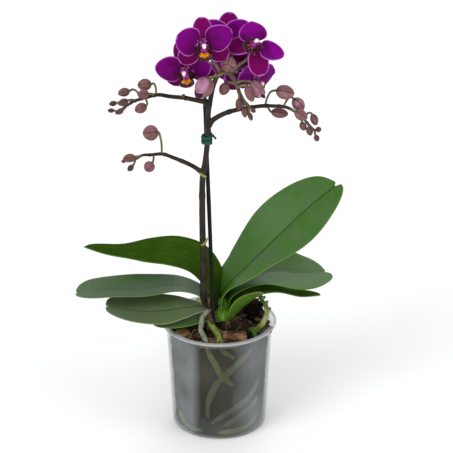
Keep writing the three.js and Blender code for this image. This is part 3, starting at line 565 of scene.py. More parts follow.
# %% Leaf materials
def leaf_material(name, deep, fresh, dull, margin, vein_strength, shine=0.22):
    """deep, fresh and dull are the greens at tones 0, a half and 1."""
    material, tree, shader, place = new_material(name, Roughness=0.42, Specular_IOR_Level=shine)
    uv = add(tree, "UVMap", {"uv_map": "along"})
    fibre_place = add(tree, "Mapping", Vector=uv, Scale=(42.0, 1.6, 1.0))
    fibres = add(tree, "TexNoise", Vector=fibre_place, Scale=1.0, Detail=3.0)
    clouds = add(tree, "TexNoise", Vector=place, Scale=per_metre(16), Detail=2.0)
    pores = add(tree, "TexNoise", Vector=place, Scale=per_metre(0.8), Detail=2.0)
    tone, edge, middle = [add(tree, "Attribute", {"attribute_name": kept}).outputs["Fac"]
                          for kept in ("tone", "edge", "middle")]
    wander = swayed(tree, tone, (clouds, 0.16))
    body = add(tree, "ValToRGB", stops=[(0.05, deep), (0.5, fresh), (0.9, dull)], Fac=wander)
    body = laid_over(tree, body, "#8a9a80", pores, 0.35, 0.65, 0.3, 0.0, DARKEN)
    body = laid_over(tree, body, margin, fibres, 0.35, 0.7, 0.0, vein_strength, LIGHTEN)
    body = laid_over(tree, body, margin, edge, 0.2, 1.0, 0.4, 0.0)
    # Painted shade along the midrib groove: a thin darker line, darker where the crease is sharper.
    body = laid_over(tree, body, "#76846a", middle, 0.3, 0.75, 0.85, 0.0, DARKEN)
    gloss = add(tree, "MapRange", Value=clouds, n1=0.3, n2=0.7, n3=0.36, n4=0.5)
    dress(tree, shader, body, (fibres, 0.18, 0.6), (pores, 0.1, 0.2), Roughness=gloss)
    return material


LEAF_KINDS = {
    "waxy leaf, upper face": ("#2a4a08", "#3a661f", "#4e6446", "#6f9040", 0.05),
    "waxy leaf, under face": ("#3f6016", "#4a701f", "#586e34", "#8a9a4a", 0.12),
    # The deep green face is a shaded copy of the upper face: painted shade in deeper greens, with no shine.
    "waxy leaf, deep green face in painted shade": ("#243e08", "#345010", "#4a6430", "#6a8a3c", 0.12, 0.0),
    "waxy leaf, dull face": ("#40581c", "#526838", "#5a6c48", "#8a9c66", 0.06),
    "young leaf with a red margin": ("#2c4a0a", "#3c5e1c", "#4e6446", "#84503c", 0.04),
}
leaf_skins = {kind: leaf_material(kind, *look) for kind, look in LEAF_KINDS.items()}
FACES = {"leaf_left_top": "waxy leaf, deep green face in painted shade", "leaf_left_low": "waxy leaf, dull face",
         "leaf_right_small": "young leaf with a red margin", "leaf_right_low": "waxy leaf, deep green face in painted shade"}
print("leaf faces:", " | ".join(leaf_skins))

# %% Leaf shapes
LEAF_THICK, LEAF_EDGE, LEAF_FOOT = 1.9, 1.0, 0.26
LEAVES = {
    "leaf_left_top": dict(
        rib=[(3, 5, 90), (-3, 6, 115), (-17, 9, 134.5), (-35, 13, 140), (-57, 18.5, 137.6), (-80, 24, 135.4),
             (-106, 31, 137)],
        wide=47, twist=(-13, -15, 4, 21), base=0.76, tip=0.4, keel=0.12, tone=(0.05, 0.18), crease=0.1),
    "leaf_left_middle": dict(
        rib=[(0, 2, 90), (-12, 2, 108), (-31, 4, 115), (-60, 6, 111), (-90, 8, 109), (-113, 9, 107)],
        wide=44, twist=(-1, 0, 2, 2), base=1, tip=0.39, keel=0.19, tone=(0.4, 0.82), crease=0.5, notch=1.5),
    "leaf_left_low": dict(
        rib=[(0, -2, 90), (-11, -5, 100.5), (-27, -8, 102), (-48, -10, 100), (-70, -11, 101),
             (-89, -11, 105)],
        wide=46, twist=(21, -18, -6, 6), base=1.08, tip=0.3, keel=0.11, tone=(0.6, 0.85), crease=0.8,
        notch=3.5),
    "leaf_left_under": dict(
        rib=[(0, -4, 89), (-12, -8, 94.5), (-23, -11, 95), (-38, -14, 94), (-52, -15, 93)],
        wide=32, twist=(0, 0, -2, 0), base=1, tip=0.45, keel=0.1, tone=(0.3, 0.3)),
    "leaf_right_top": dict(
        rib=[(5, 3, 90), (4, 4, 112), (20, 8, 128), (39, 16, 145), (67, 28, 169), (94, 40, 188)],
        wide=54, twist=(-23, 2, 31, 25), base=0.69, tip=0.48, keel=0.24, tone=(0.55, 0.55), crease=1,
        notch=4, lobe=-2),
    "leaf_right_middle": dict(
        rib=[(7, 1, 90), (7, 3, 109), (18, 8, 118), (38, 15, 122), (66, 22, 118), (86, 30, 115)],
        wide=50, twist=(0, -2, 18, 3), base=1.05, tip=0.43, keel=0.13, tone=(0.2, 0.42), crease=0.7,
        notch=3, lobe=-2),
    "leaf_right_low": dict(
        rib=[(8, -1, 89), (9, 2, 102), (19, 8, 107.5), (39, 13, 110), (61, 16, 103), (80, 18, 101)],
        wide=37, twist=(0, 0, -12, -13), base=0.78, tip=0.56, keel=0.09, tone=(0.3, 0.7)),
    "leaf_right_small": dict(
        rib=[(8, -4, 88), (14, -8, 101), (23, -11, 111.5), (34, -13, 118)],
        wide=19, twist=(-18, -31, -34), base=0.83, tip=0.42, keel=0.12, tone=(0.1, 0.25)),
}


def share_of_width(t, base, tip):
    """Half-width of a blade at 0..1 along it, 1 at its widest."""
    widest = base / (base + tip)
    return (t**base * (1 - t) ** tip) / (widest**base * (1 - widest) ** tip)


def turned(v, axis, angle):
    """Vectors turned about axes by angles in radians."""
    c, s = np.cos(angle)[:, None], np.sin(angle)[:, None]
    return v * c + np.cross(axis, v) * s + axis * (axis * v).sum(axis=1, keepdims=True) * (1 - c)


def leaf_part(rib, wide, twist, base, tip, keel, tone, seed, crease=0.6, notch=0.0, lobe=0.0,
              rows=72, columns=31):
    """A leaf as a closed blade.

    It folds softly about its rib and ripples a little at its margins. crease says how sharp the rib
    is, notch how deep the tip is notched and lobe how far one side of the tip outgrows the other, in mm.
    """
    curve = smooth_curve(rib)
    t = np.sin(np.linspace(0, 1, rows) * math.pi / 2)
    centre = at(curve, t)
    tangent = unit(at(np.gradient(curve, axis=0), t))
    run = np.subtract(rib[-1], rib[0])
    level = unit(np.array([-run[1], run[0], 0.0]))
    side = unit(level - tangent * (tangent @ level)[:, None])
    knots = np.linspace(0, 1, len(twist))
    angle = np.radians(np.mean([np.interp(t + s, knots, twist) for s in np.linspace(-0.15, 0.15, 9)], axis=0))
    side = turned(side, tangent, angle)
    up = np.cross(tangent, side)
    half = wide / 2 * np.hypot(LEAF_FOOT * (1 - t) ** 2, share_of_width(t, base, tip))
    reach = np.maximum(half, 1.0)[:, None]
    v = np.sin(np.linspace(1, -1, columns) * math.pi / 2)[None, :]
    fold = keel * reach * np.abs(v) ** (1.9 - 0.75 * crease)
    x = v * reach
    groove = -0.6 * crease * np.exp(-((x / 1.3) ** 2)) * np.minimum(1, reach / 8)
    size = length_of(curve)
    ripple = 0.7 * np.sin(t[:, None] * size / 9 + 2.1 * seed + 2.4 * np.sign(v)) * np.abs(v) ** 4
    lift = fold + groove + ripple * np.minimum(1, 6 * t[:, None] * (1.05 - t[:, None]))
    end = np.clip((t[:, None] - 0.9) / 0.1, 0, 1) ** 2
    ahead = end * (lobe * np.tanh(x / 4) - notch * np.exp(-((x / 1.6) ** 2)))
    middle = (centre[:, None] + side[:, None] * x[..., None] + up[:, None] * lift[..., None]
              + tangent[:, None] * ahead[..., None])
    rim = np.minimum(reach * (1 - np.abs(v)), size * (1 - t[:, None]) + 0.01 + 0 * v)
    thick = (LEAF_THICK + (LEAF_EDGE - LEAF_THICK) * np.abs(v)) * np.clip(0.35 + rim / 1.4, 0, 1)
    shade = np.interp(t, [0, 0.35, 1], [tone[0], tone[1], tone[1]])[:, None]
    # The distance from the rib that lays the painted shade in the midrib groove; a sharper crease darkens it
    # more.
    flank = np.abs(x) + 0.7 * (1 - crease)
    return blade_part(middle, thick, v, t[:, None], tone=shade, edge=rim, middle=flank)


for number, (name, shape) in enumerate(LEAVES.items()):
    faces = [leaf_skins[kind] for kind in (FACES.get(name, "waxy leaf, upper face"), "waxy leaf, under face")]
    piece = new_piece(f"{name}_blade", leaf_part(**shape, seed=number), *faces)
    finish_piece(piece, "leaf", name)

# %% [markdown]
# ## Roots and the old stalk
# Aerial roots are wrapped in velamen, a spongy skin that is silver when dry and green when wet, with a
# fresh green growing tip. Inside the pot they lie against the wall and show as pale bands through the
# film. An old flower stem was cut off low on the right and has dried to a cream stub with small nubs.

# %% Root materials
def root_material(name, dry, wet, dark, wetness, roughness=0.75):
    """Spongy skin in blotches of a dry and a wet colour, with dark grain and creases across it."""
    material, tree, shader, place = new_material(name, Roughness=roughness)
    blotches = add(tree, "TexNoise", Vector=place, Scale=per_metre(5), Detail=4.0)
    grain = add(tree, "TexNoise", Vector=place, Scale=per_metre(0.8), Detail=3.0)
    length = add(tree, "Attribute", {"attribute_name": "length"}).outputs["Fac"]
    rings = add(tree, "TexNoise", {"noise_dimensions": "1D"}, W=length, Scale=per_metre(2.2))
    skin = laid_over(tree, dry, wet, blotches, 0.62 - wetness, 0.78 - wetness, 0.0, 1.0)
    skin = laid_over(tree, skin, dark, grain, 0.62, 0.75, 0.0, 0.55)
    skin = laid_over(tree, skin, dark, rings, 0.3, 0.42, 0.35, 0.0)
    dress(tree, shader, skin, (grain, 0.35, 0.3))
    return material


SKINS = {
    "dry silver velamen": ("#7e8474", "#5c6450", "#3e3f34", 0.12),
    "damp green velamen": ("#78863a", "#54692a", "#3c3a20", 0.2),
    "root behind the film": ("#747e5c", "#607440", "#3a4030", 0.14),
    "fresh root behind the film": ("#8c9c5a", "#6a883c", "#48582c", 0.2),
    "dry brown root sheath": ("#46352a", "#2c1f18", "#140e0a", 0.1, 0.9),
    "growing root tip": ("#36641a", "#284c12", "#1a340c", 0.3, 0.45),
    "pale root behind the film": ("#748478", "#5c7050", "#3c4438", 0.1),
    "dry brown scale": ("#6a4a2c", "#4c3420", "#32241a", 0.2),
}
root_skins = {kind: root_material(kind, *look) for kind, look in SKINS.items()}
print("root materials:", ", ".join(root_skins))


# %% Roots
WALL_GAP = 0.2


def wall_place(thick, degrees, z, inward=0):
    """The middle of a root this thick at the pot's wall, by degrees round from the front and height."""
    radius, angle = inner_radius(z) - thick - WALL_GAP - inward, math.radians(degrees)
    return (radius * math.sin(angle), -radius * math.cos(angle), z)


def blunt(radius):
    """A root's radius along it: thin where it starts, tapering to a rounded tip."""
    def size(t):
        taper = radius * min(1, 0.45 + 4 * t) * (1 - 0.45 * max(0, (t - 0.75) / 0.25))
        return taper * math.sqrt(max(1 - max(0, (t - 0.955) / 0.0451) ** 2, 0.004))
    return size


ROOTS = {
    "root_silver": (1.95, "dry silver velamen", [
        (-3, -6, 97), (-7.8, -10, 100.8), (-11.3, -14, 99.8), (-13.6, -18, 97.2), (-14.1, -23, 94.2),
        (-14.5, -27, 92.6), (-12.6, -31, 90.4), (-10.8, -34.6, 87)],
        [(-14, 81), (-10.5, 75), (-5, 68), (0, 61)]),
    "root_green": (2.4, "damp green velamen", [
        (-2, -5, 92), (-6, -11, 96), (-7, -16, 95), (-5.9, -20, 93), (-2.8, -25, 90.6), (-0.2, -31, 87.6),
        (1, -34.6, 84.6)], [(5, 79), (12, 75), (19, 72)]),
    "root_wall_high": (3.4, "root behind the film", [], [
        (50, 79, 0.6), (33, 72, 0.3), (16, 62.5), (2, 54, 0.5), (-7, 45, 0.2), (-12, 36), (-15, 26),
        (-14, 16)]),
    "root_wall_middle": (2.9, "pale root behind the film", [], [
        (60, 46), (43, 35), (28, 29), (10, 23), (-3, 17), (-11, 12)]),
    "root_wall_low": (2.5, "pale root behind the film", [], [
        (62, 30), (44, 24), (30, 19.5), (17, 15), (6, 11)]),
    "root_base_right": (2.1, "fresh root behind the film", [], [
        (-5, 5.6), (12, 5.6), (28, 6), (46, 8.5), (58, 14)]),
    "root_base_left": (2.1, "fresh root behind the film", [], [(-68, 16), (-52, 8), (-38, 5.8), (-21, 6)]),
    "root_back_right": (2.4, "root behind the film", [], [
        (95, 68, 1.4), (118, 60), (140, 47), (162, 38), (176, 24)]),
    "root_back_left": (2.4, "root behind the film", [], [
        (-60, 72, 2.4), (-85, 58, 1.4), (-112, 52), (-140, 36), (-160, 30)]),
    "root_rim": (1.3, "dry brown root sheath", [], [
        (97, 80, 0.8), (88, 87, 0.2), (74, 88.4), (60, 86.6, 0.2), (50, 80, 0.8)]),
    "root_tip": (1.6, "growing root tip", [
        (21.5, -16, 82), (23.4, -20, 89), (25.4, -23.4, 91.4), (27.4, -26, 89.8), (28, -27, 86),
        (28, -27, 82)], []),
}
WET_END = (2.8, "fresh root behind the film", [], [
    (-13, 81), (-10.5, 75), (-5, 68), (2, 58.5), (10, 52), (19, 47)])


def root_skin(name, radius, kind, free, wall):
    """A root that starts at free points, x, y and z, and goes on along the pot's wall."""
    points = free + [wall_place(radius, *place) for place in wall]
    return tubes(name, [(points, blunt(radius))], root_skins[kind], sides=18, bump=0.7, grain=per_metre(6))


for name, root in ROOTS.items():
    finish_piece(root_skin(f"{name}_skin", *root), "dry_root" if name == "root_rim" else "root", name)
finish_piece(root_skin("root_silver_wet_end", *WET_END), "root")

# %% The sheath on the green root and the old stalk
SHEATH = [(-5.4, -9.4, 97.6), (-7.4, -13, 98.2), (-6.9, -16.4, 96.6), (-4.6, -20.6, 94)]
SCALE = [(-6.6, -9.6, 102.6), (-7.9, -10.4, 106), (-8, -10.6, 110), (-7.4, -10.2, 113)]
sheath = tubes("green_root_sheath", [(SHEATH, lambda t: 2.3 - 0.5 * t)], root_skins["dry brown root sheath"],
               sides=16, bump=1.1, grain=per_metre(3))
finish_piece(sheath, "dry_root")
scale = tubes("crown_dry_scale", [(SCALE, lambda t: 1.5 * math.sqrt(max(0.05, 1 - abs(2 * t - 1) ** 3)))],
              root_skins["dry brown scale"], sides=14, bump=0.4, grain=per_metre(3))
finish_piece(scale, "dry_root")

stalk_skin, tree, shader, place = new_material("dried flower stem", Roughness=0.6)
blotches = add(tree, "TexNoise", Vector=place, Scale=per_metre(3), Detail=4.0)
share = add(tree, "Attribute", {"attribute_name": "share"}).outputs["Fac"]
along = swayed(tree, share, (blotches, 0.22))
drying = add(tree, "ValToRGB", Fac=along, stops=[
    (0.12, "#2c4410"), (0.32, "#66702c"), (0.48, "#8e8c60"), (0.62, "#5e6636"), (0.9, "#34481a")])
dress(tree, shader, drying, (blotches, 0.4, 0.6))

STUB = [(26, -17.6, 81), (28.6, -18.4, 86.8), (33, -15.6, 90.8), (35.8, -12.8, 94.6), (37.4, -10, 98.6),
        (37.2, -8.4, 102), (35.9, -7, 105.2), (33.6, -5.4, 107.8), (32.3, -4, 110.4), (33.6, -3.2, 113.6)]
NUBS = [[(37, -9.6, 99.6), (38.8, -9.2, 101), (40.4, -8.8, 103.2)],
        [(35.8, -7, 104.6), (37, -6.4, 106), (38.2, -6, 107.8)],
        [(32.8, -4.6, 109), (34.6, -4.4, 109.4), (36.6, -4.2, 110.4)]]
JOINTS_ALONG = 5


def stub_radius(t):
    """The old stalk's radius along it, thicker halfway between its joints."""
    joint = math.exp(-(((t * JOINTS_ALONG) % 1 - 0.5) / 0.16) ** 2)
    return (2.6 - 1.3 * t) * (1 + 0.16 * joint)


stub_paths = [(STUB, stub_radius)]
stub_paths += [(nub, lambda t: 1.5 * math.sin(math.pi * min(0.96, 0.25 + 0.72 * t)) ** 0.7) for nub in NUBS]
stub = tubes("old_stalk_skin", stub_paths, stalk_skin, sides=16, bump=0.5, grain=per_metre(4), step=0.7)
finish_piece(stub, "old_stalk", "old_stalk")

# %% [markdown]
# ## Crown
# A moth orchid has almost no stem: the leaves sit in two ranks, and each leaf's sheath wraps the ones
# above it. The crown is a fresh bright green tube with lengthwise streaks, slightly flattened from
# front to back, with the edges of the sheaths showing as low ridges.

# %% Crown
crown_skin = streaked_skin("fresh leaf sheath", 0.42, [(0.3, "#305406"), (0.5, "#4c800c"), (0.7, "#7ca22c")],
                           1.6, 0.2, 0.6, 0.06)
CROWN_PATH, CROWN_RADIUS = [(2, 0, 78), (2.5, 0.5, 92), (3, 2.5, 106)], 9.2
SHEATH_EDGES = ((0.6, 0.5), (2.0, -0.5), (-1.1, 0.4), (-2.5, -0.6))


def crown_part(rows=48, around=96):
    """The crown with a low ridge at each sheath's edge, given by its angle and its lean."""
    curve = smooth_curve(CROWN_PATH)
    t = np.linspace(0, 1, rows)
    centre = at(curve, t)
    angle = np.linspace(0, TURN, around, endpoint=False)
    size = CROWN_RADIUS * (0.72 + 0.28 * np.sin(math.pi * t)) * (1 - 0.42 * t**3)
    size[-1] *= 0.55
    ridge = np.zeros((rows, around))
    for start, lean in SHEATH_EDGES:
        gap = (angle[None, :] - start - lean * t[:, None] + math.pi) % TURN - math.pi
        ridge += 0.5 * (gap > 0) * np.exp(-gap / 0.5)
    radius = size[:, None] * (1 + 0.05 * np.cos(2 * angle))[None, :] + ridge - 0.3
    ring = np.stack([radius * np.sin(angle), -radius * np.cos(angle) * 0.94, 0 * radius], axis=-1)
    return ring_part(centre[:, None] + ring, t, angle)


finish_piece(new_piece("crown_sheaths", crown_part(), crown_skin), "crown", "crown")

# %% [markdown]
# ## Stake and tie
# The stake is a dark split-cane stick, darker than the stem beside it. The tie is a soft green foam
# band wound twice round stem and stake, with one loose end. Both follow paths, so both are tubes.

# %% Stake
cane = streaked_skin("dyed split cane", 0.55, [(0.35, "#080606"), (0.6, "#120e0d"), (0.75, "#221c19")],
                     0.7, 0.25, 0.3, 0.04)
STAKE_FOOT, STAKE_TOP, STAKE_RADIUS = np.array([-1.4, -17, 8]), np.array([-11, -6.8, 282]), 1.6
stake_path = [tuple(STAKE_FOOT + (STAKE_TOP - STAKE_FOOT) * s) for s in (0, 0.3, 0.6, 1)]
stake = tubes("cane_stake", [(stake_path, lambda t: STAKE_RADIUS * (0.97 - 0.04 * math.cos(14 * t)))], cane,
              sides=16, bump=0.25, grain=per_metre(12), step=3)
finish_piece(stake, "stake", "stake")

# %% Tie
foam = streaked_skin("soft foam tie", 0.9, [(0.35, "#143830"), (0.65, "#285a4c")], 1.1, 0.6, 0.6)


def squared(value):
    """A sine or cosine that lingers at its ends, so that a circle turns into a rounded square."""
    return math.copysign(abs(value) ** (2 / 3), value)


WRAPS, TIE_MIDDLE, TIE_REACH, TIE_FOOT, TIE_RISE = 2.05, (-9.4, -10.7), (3.0, 5.4), 244.6, 0.55
wraps = []
for angle in np.linspace(0, WRAPS * TURN, 60):
    x, y = squared(math.cos(angle)), squared(math.sin(angle))
    wraps.append((TIE_MIDDLE[0] + TIE_REACH[0] * x, TIE_MIDDLE[1] + TIE_REACH[1] * y,
                  TIE_FOOT + TIE_RISE * angle))
tail = [(-6.4, -10.4, 251.6), (-4.8, -13, 252.2), (-2.2, -14.8, 249.8)]
tie = tubes("foam_tie", [(wraps, 1.4), (tail, lambda t: 1.1 - 0.35 * t)], foam, sides=14, bump=0.5,
            grain=per_metre(2.5), step=0.8)
finish_piece(tie, "tie", "tie")

# %% [markdown]
# ## Flower stem
# The stem is smooth and nearly black-brown, with an olive bloom where the light catches it and pale
# flecks. It swells at each joint, where a small dry bract clasps it. The stalks of buds and blooms are
# thinner and younger, so they are yellow-green; the two behind the upper blooms have turned dusty pink.

# %% Stem materials
def stem_material(name, base, light, fleck, fleck_amount, roughness=0.45, young_end=None):
    """A waxy skin with flecks; young_end is the colour of the last quarter, which is still young."""
    material, tree, shader, place = new_material(name, Roughness=roughness)
    clouds = add(tree, "TexNoise", Vector=place, Scale=per_metre(9), Detail=3.0)
    grain = add(tree, "TexNoise", Vector=place, Scale=per_metre(0.9), Detail=2.0)
    body = add(tree, "ValToRGB", stops=[(0.35, base), (0.68, light)], Fac=clouds)
    body = laid_over(tree, body, fleck, grain, 0.62, 0.72, 0.0, fleck_amount)
    if young_end:
        share = add(tree, "Attribute", {"attribute_name": "share"}).outputs["Fac"]
        body = laid_over(tree, body, young_end, share, 0.755, 0.83, 0.0, 0.65)
    dress(tree, shader, body, (grain, 0.15, 0.2))
    return material


dark_stem = stem_material("waxy dark stem", "#1c1610", "#34291f", "#564c3a", 0.35, young_end="#6a564a")
young_stalk = stem_material("young yellow-green stalk", "#5a5a2c", "#7e7e44", "#4c3a2c", 0.3)
bud_stalk = stem_material("young brown-green stalk", "#4e4a34", "#746e4e", "#4c3a2c", 0.3)
pink_stalk = stem_material("dusty pink stalk", "#6a564a", "#887464", "#a09880", 0.3)
bract_skin = stem_material("dry bract", "#5c6428", "#8a9444", "#3c2c1c", 0.4, 0.6)
print("stem materials:", dark_stem.name, "|", young_stalk.name, "|", bud_stalk.name, "|", pink_stalk.name)

# %% [markdown]
# Blooms are placed by a position and three turns: to the right, up, and about their own axis. The same
# frame tells the stalks where to end, just behind each bloom's middle. Each petal and sepal has its
# own length, width, angle from straight up and sweep back, since no bloom is quite regular.

# %% Where the blooms are
# deep is how much painted shade a bloom's blades get.
BLOOMS = {
    "bloom_front": dict(
        at=(-12, -30, 333.3), turn=8, tip=9, roll=0.5, deep=0.25, callus=1,
        petals=[(24.5, 21, 66, -6), (21.4, 22.5, -70.5, -6)],
        sepals=[(21.6, 14.6, 0, -4), (21.5, 15.5, 117, -5), (21.5, 15.5, -122, -5)]),
    "bloom_right": dict(
        at=(27.2, -22, 329.6), turn=2, tip=44, roll=-47, deep=0.0, callus=0.3,
        petals=[(23.5, 15.5, 55, 14), (22.2, 21.5, -53, 8)],
        sepals=[(23, 15, 0, 58), (22, 16, 121, 16), (21.5, 15, -126, 16)]),
    "bloom_left": dict(
        at=(-24.4, -18, 308), turn=-12, tip=-5, roll=15, deep=0.35, callus=1,
        petals=[(22.5, 21.5, 74, -15), (24.5, 22, -69, -15)],
        sepals=[(23, 15, 0, 7), (21.5, 15, 118, 7), (21.5, 15, -118, 7)]),
    "bloom_top": dict(
        at=(5.8, 8, 320.2), turn=5, tip=5, roll=-8, deep=0.1, callus=0.6,
        petals=[(22.5, 21.5, 43, 5), (22.5, 21.5, -57, 5)],
        sepals=[(23, 16, 0, 5), (21.5, 15, 129, 5), (21.5, 15, -129, 5)]),
    "bloom_low": dict(
        at=(27.2, -2, 293), turn=46, tip=-14, roll=-18, deep=0.1, callus=0.8,
        petals=[(22.5, 21.5, 70, -4), (22.5, 21.5, -70, -4)],
        sepals=[(23, 15, 0, 10), (21.5, 15, 129, 52), (21.5, 15, -129, 52)]),
    "bloom_back": dict(
        at=(15, 26.6, 291.5), turn=-10, tip=0, roll=30, deep=0.3, callus=0.8,
        petals=[(22.5, 21.5, 66, 4), (22.5, 21.5, -66, 4)],
        sepals=[(23, 15, 0, 4), (21.5, 15, 129, 4), (21.5, 15, -129, 4)]),
}


def bloom_axes(bloom):
    """A bloom's right, up and facing directions as the columns of a matrix."""
    turn, tip, roll = np.radians([bloom["turn"], bloom["tip"], bloom["roll"]])
    face = np.array([math.sin(turn) * math.cos(tip), -math.cos(turn) * math.cos(tip), math.sin(tip)])
    right = unit(np.cross([0, 0, 1], face))
    up = np.cross(face, right)
    c, s = math.cos(roll), math.sin(roll)
    return np.stack([right * c + up * s, up * c - right * s, face], axis=1)


def behind(name, distance):
    """The point this far behind a bloom's middle."""
    return tuple(np.array(BLOOMS[name]["at"]) - distance * bloom_axes(BLOOMS[name])[:, 2])


print("the front bloom faces", bloom_axes(BLOOMS["bloom_front"])[:, 2].round(2))

# %% Spike
SPIKE = [(-2.5, -4, 101), (-6, -7, 104), (-9.5, -9.5, 106.5), (-12, -11, 111), (-12.4, -13, 122),
         (-12.2, -14, 138), (-12.6, -14, 160), (-13, -13, 190), (-12.6, -12.6, 216), (-10.4, -12.8, 231),
         (-9, -12.9, 245), (-8.3, -13, 257), (-8, -13, 272), (-6, -14, 285), (-4.6, -14, 292), (-3, -15, 298),
         (0.6, -15.5, 304.5), (4, -16, 307), (7, -17, 306), (10, -18, 303), (12.6, -18, 298.5),
         (14.2, -18, 294), (16, -18, 288), (18.8, -18, 283), (22, -18, 279), (24, -18, 276.5)]
SPIKE_JOINTS = (0.17, 0.42, 0.5, 0.63, 0.72, 0.8, 0.86, 0.91, 0.95)


def jointed(thick, thin, joints, swell=0.14, power=1.0):
    """A stem's radius along it, with a soft swelling at each joint."""
    def size(t):
        swollen = sum(math.exp(-(((t - joint) / 0.012) ** 2)) for joint in joints)
        return (thick + (thin - thick) * t**power) * (1 + swell * swollen)
    return size


BLOOM_STALKS = {
    "bloom_front": (1.2, [(1, -16, 305.5), (-1.5, -18, 311), (-6, -20.5, 320)]),
    "bloom_right": (1.2, [(8, -17, 305.5), (13, -15.5, 310), (20, -13, 314)]),
    "bloom_left": (1.1, [(-4, -14.5, 295), (-10, -9, 298), (-16, -5, 302)]),
    "bloom_top": (1.1, [(2, -15.5, 305.6), (3.4, -4, 305.5), (4.2, 8, 307)]),
    "bloom_low": (1.0, [(12.6, -18, 298.5), (10, -12, 300), (13, -3, 302), (20, 4.4, 298.6)]),
    "bloom_back": (1.1, [(-3, -14.6, 298), (-5, 0, 302), (-5.4, 16, 303.5), (-4.4, 31, 303), (4, 37, 300)]),
}
DUSTY_PINK = ("bloom_front", "bloom_right")
BIG_BUD_STALKS = [
    [(6.5, -17, 306), (6.8, -17.6, 310), (7, -19.2, 314)],
    [(5, -16.5, 306), (0, -21.5, 305.6), (-7.6, -25.6, 305)],
    [(12.4, -18, 297.5), (9.5, -19.6, 298.8), (7, -20.2, 299)],
    [(13, -18, 297.6), (17.5, -19.6, 300), (24, -20, 299.8)],
    [(14.2, -18, 294.4), (17, -23, 297.6), (21, -26.2, 299)],
]
BRACTS = [
    [(-13.9, -15.2, 160.4), (-12, -16.2, 161.4), (-10, -16, 164), (-8.9, -15.4, 166.6)],
    [(-15, -13.6, 221.4), (-13.2, -15.4, 220.2), (-11, -15.2, 218.6), (-9.8, -13.4, 217.6)],
    [(-12.6, -11.6, 109.6), (-15.6, -12, 111.8), (-19, -12.4, 111)],
]


def stalk_radius(radius):
    """A stalk's radius along it, thinnest in the middle."""
    return lambda t: radius * (1.25 - 0.4 * math.sin(math.pi * t))


stem = tubes("spike_stem", [(SPIKE, jointed(2.6, 1.35, SPIKE_JOINTS, power=1.8))], dark_stem, sides=20,
             bump=0.35, grain=per_metre(14), step=0.8)
finish_piece(stem, "stem", "spike")
pink, green = [], []
for name, (radius, path) in BLOOM_STALKS.items():
    whole = path + [behind(name, 8), behind(name, 2.2)]
    (pink if name in DUSTY_PINK else green).append((whole, stalk_radius(radius)))
green += [(path, stalk_radius(0.95)) for path in BIG_BUD_STALKS]
for name, stalks, skin in (("pink", pink, pink_stalk), ("green", green, young_stalk)):
    piece = tubes(f"spike_{name}_stalks", stalks, skin, sides=12, bump=0.2, grain=per_metre(5))
    finish_piece(piece, "stem")
scales = [(path, lambda t: 0.5 + 0.7 * math.sin(math.pi * min(1, 0.2 + 0.85 * t))) for path in BRACTS]
finish_piece(tubes("spike_bracts", scales, bract_skin, sides=16, bump=0.6, grain=per_metre(4)), "stem")

# %% [markdown]
# ## Sprays and their buds
# Each side spray carries buds that get younger and smaller towards its end. A bud is three sepals
# closed over the petals, so it is an egg with three low seams that meet at its tip. One bud form is
# made, and a Geometry Nodes tree sets a copy of it on each point of a small cloud, turned and scaled
# by values stored on the point. The copies are then realised into one plain mesh.

# %% Bud material
bud_skin, tree, shader, place = new_material("dusty pink bud", Roughness=0.5)
uv = add(tree, "UVMap", {"uv_map": "along"})
tone, seam, third = [add(tree, "Attribute", {"attribute_name": kept}).outputs["Fac"]
                     for kept in ("tone", "edge", "third")]
parts = add(tree, "SeparateXYZ", Vector=uv)
clouds = add(tree, "TexNoise", Vector=place, Scale=per_metre(4), Detail=3.0)
rib_place = add(tree, "Mapping", Vector=uv, Scale=(24.0, 0.9, 1.0))
ribs = add(tree, "TexNoise", Vector=rib_place, Scale=1.0, Detail=2.0)
uneven = add(tree, "MapRange", Value=third, n3=-0.16, n4=0.06)
mixed = add(tree, "Math", {"operation": "ADD"}, n0=swayed(tree, tone, (clouds, 0.2)), n1=uneven)
body = add(tree, "ValToRGB", Fac=mixed, stops=[
    (0.0, "#4c3432"), (0.4, "#744e4e"), (0.75, "#885e62"), (1.0, "#b07a9c")])
body = laid_over(tree, body, "#5c5430", parts.outputs["Y"], 0.02, 0.22, 0.65, 0.0)
body = laid_over(tree, body, "#8a7a7c", ribs, 0.42, 0.6, 0.25, 0.0, DARKEN)
body = laid_over(tree, body, "#3c1e28", seam, 0.014, 0.05, 0.9, 0.0)
dress(tree, shader, body, (ribs, 0.2, 0.3))
print("bud:", bud_skin.name)

# %% One bud form
SEAM_WIDTH = 0.045


def bud_form(rows=17, around=36, seams=3, depth=0.09, turn=0.0):
    """A blunt bud of unit length along +Z and unit width, its seams running up to its tip."""
    t = eased(rows)
    angle = np.linspace(0, TURN, around, endpoint=False)
    width = 0.5 * np.sin(math.pi * t**0.9) ** 0.5
    width[0], width[-1] = 0.06, 0.012
    gap = np.abs((angle * seams / TURN + turn) % 1 - 0.5) * 2
    seam = (1 - gap)[None, :] * width[:, None] * math.pi / seams
    groove = depth * np.exp(-((seam / SEAM_WIDTH) ** 2)) * np.clip(t * 2.2, 0.15, 1)[:, None]
    radius = width[:, None] * (1 - groove)
    points = np.stack([radius * np.sin(angle), -radius * np.cos(angle), t[:, None] + 0 * radius], axis=-1)
    thirds = np.floor((angle * seams / TURN + turn) % seams) / 2
    return ring_part(points, t, angle, edge=seam.ravel(), third=np.tile(thirds, rows))


def standing(part, stalk, tip, wide):
    """A unit form turned to run from stalk to tip, this wide."""
    stalk, tip = np.array(stalk, float), np.array(tip, float)
    axis = unit(tip - stalk)
    first = unit(np.cross(axis, [0.13, 1.0, 0.21]))
    second = np.cross(axis, first)
    x, y, z = (part["points"] * [wide, wide, np.linalg.norm(tip - stalk)]).T
    return {**part, "points": stalk + np.outer(x, first) + np.outer(y, second) + np.outer(z, axis)}


print("points in one bud:", len(bud_form()["points"]))

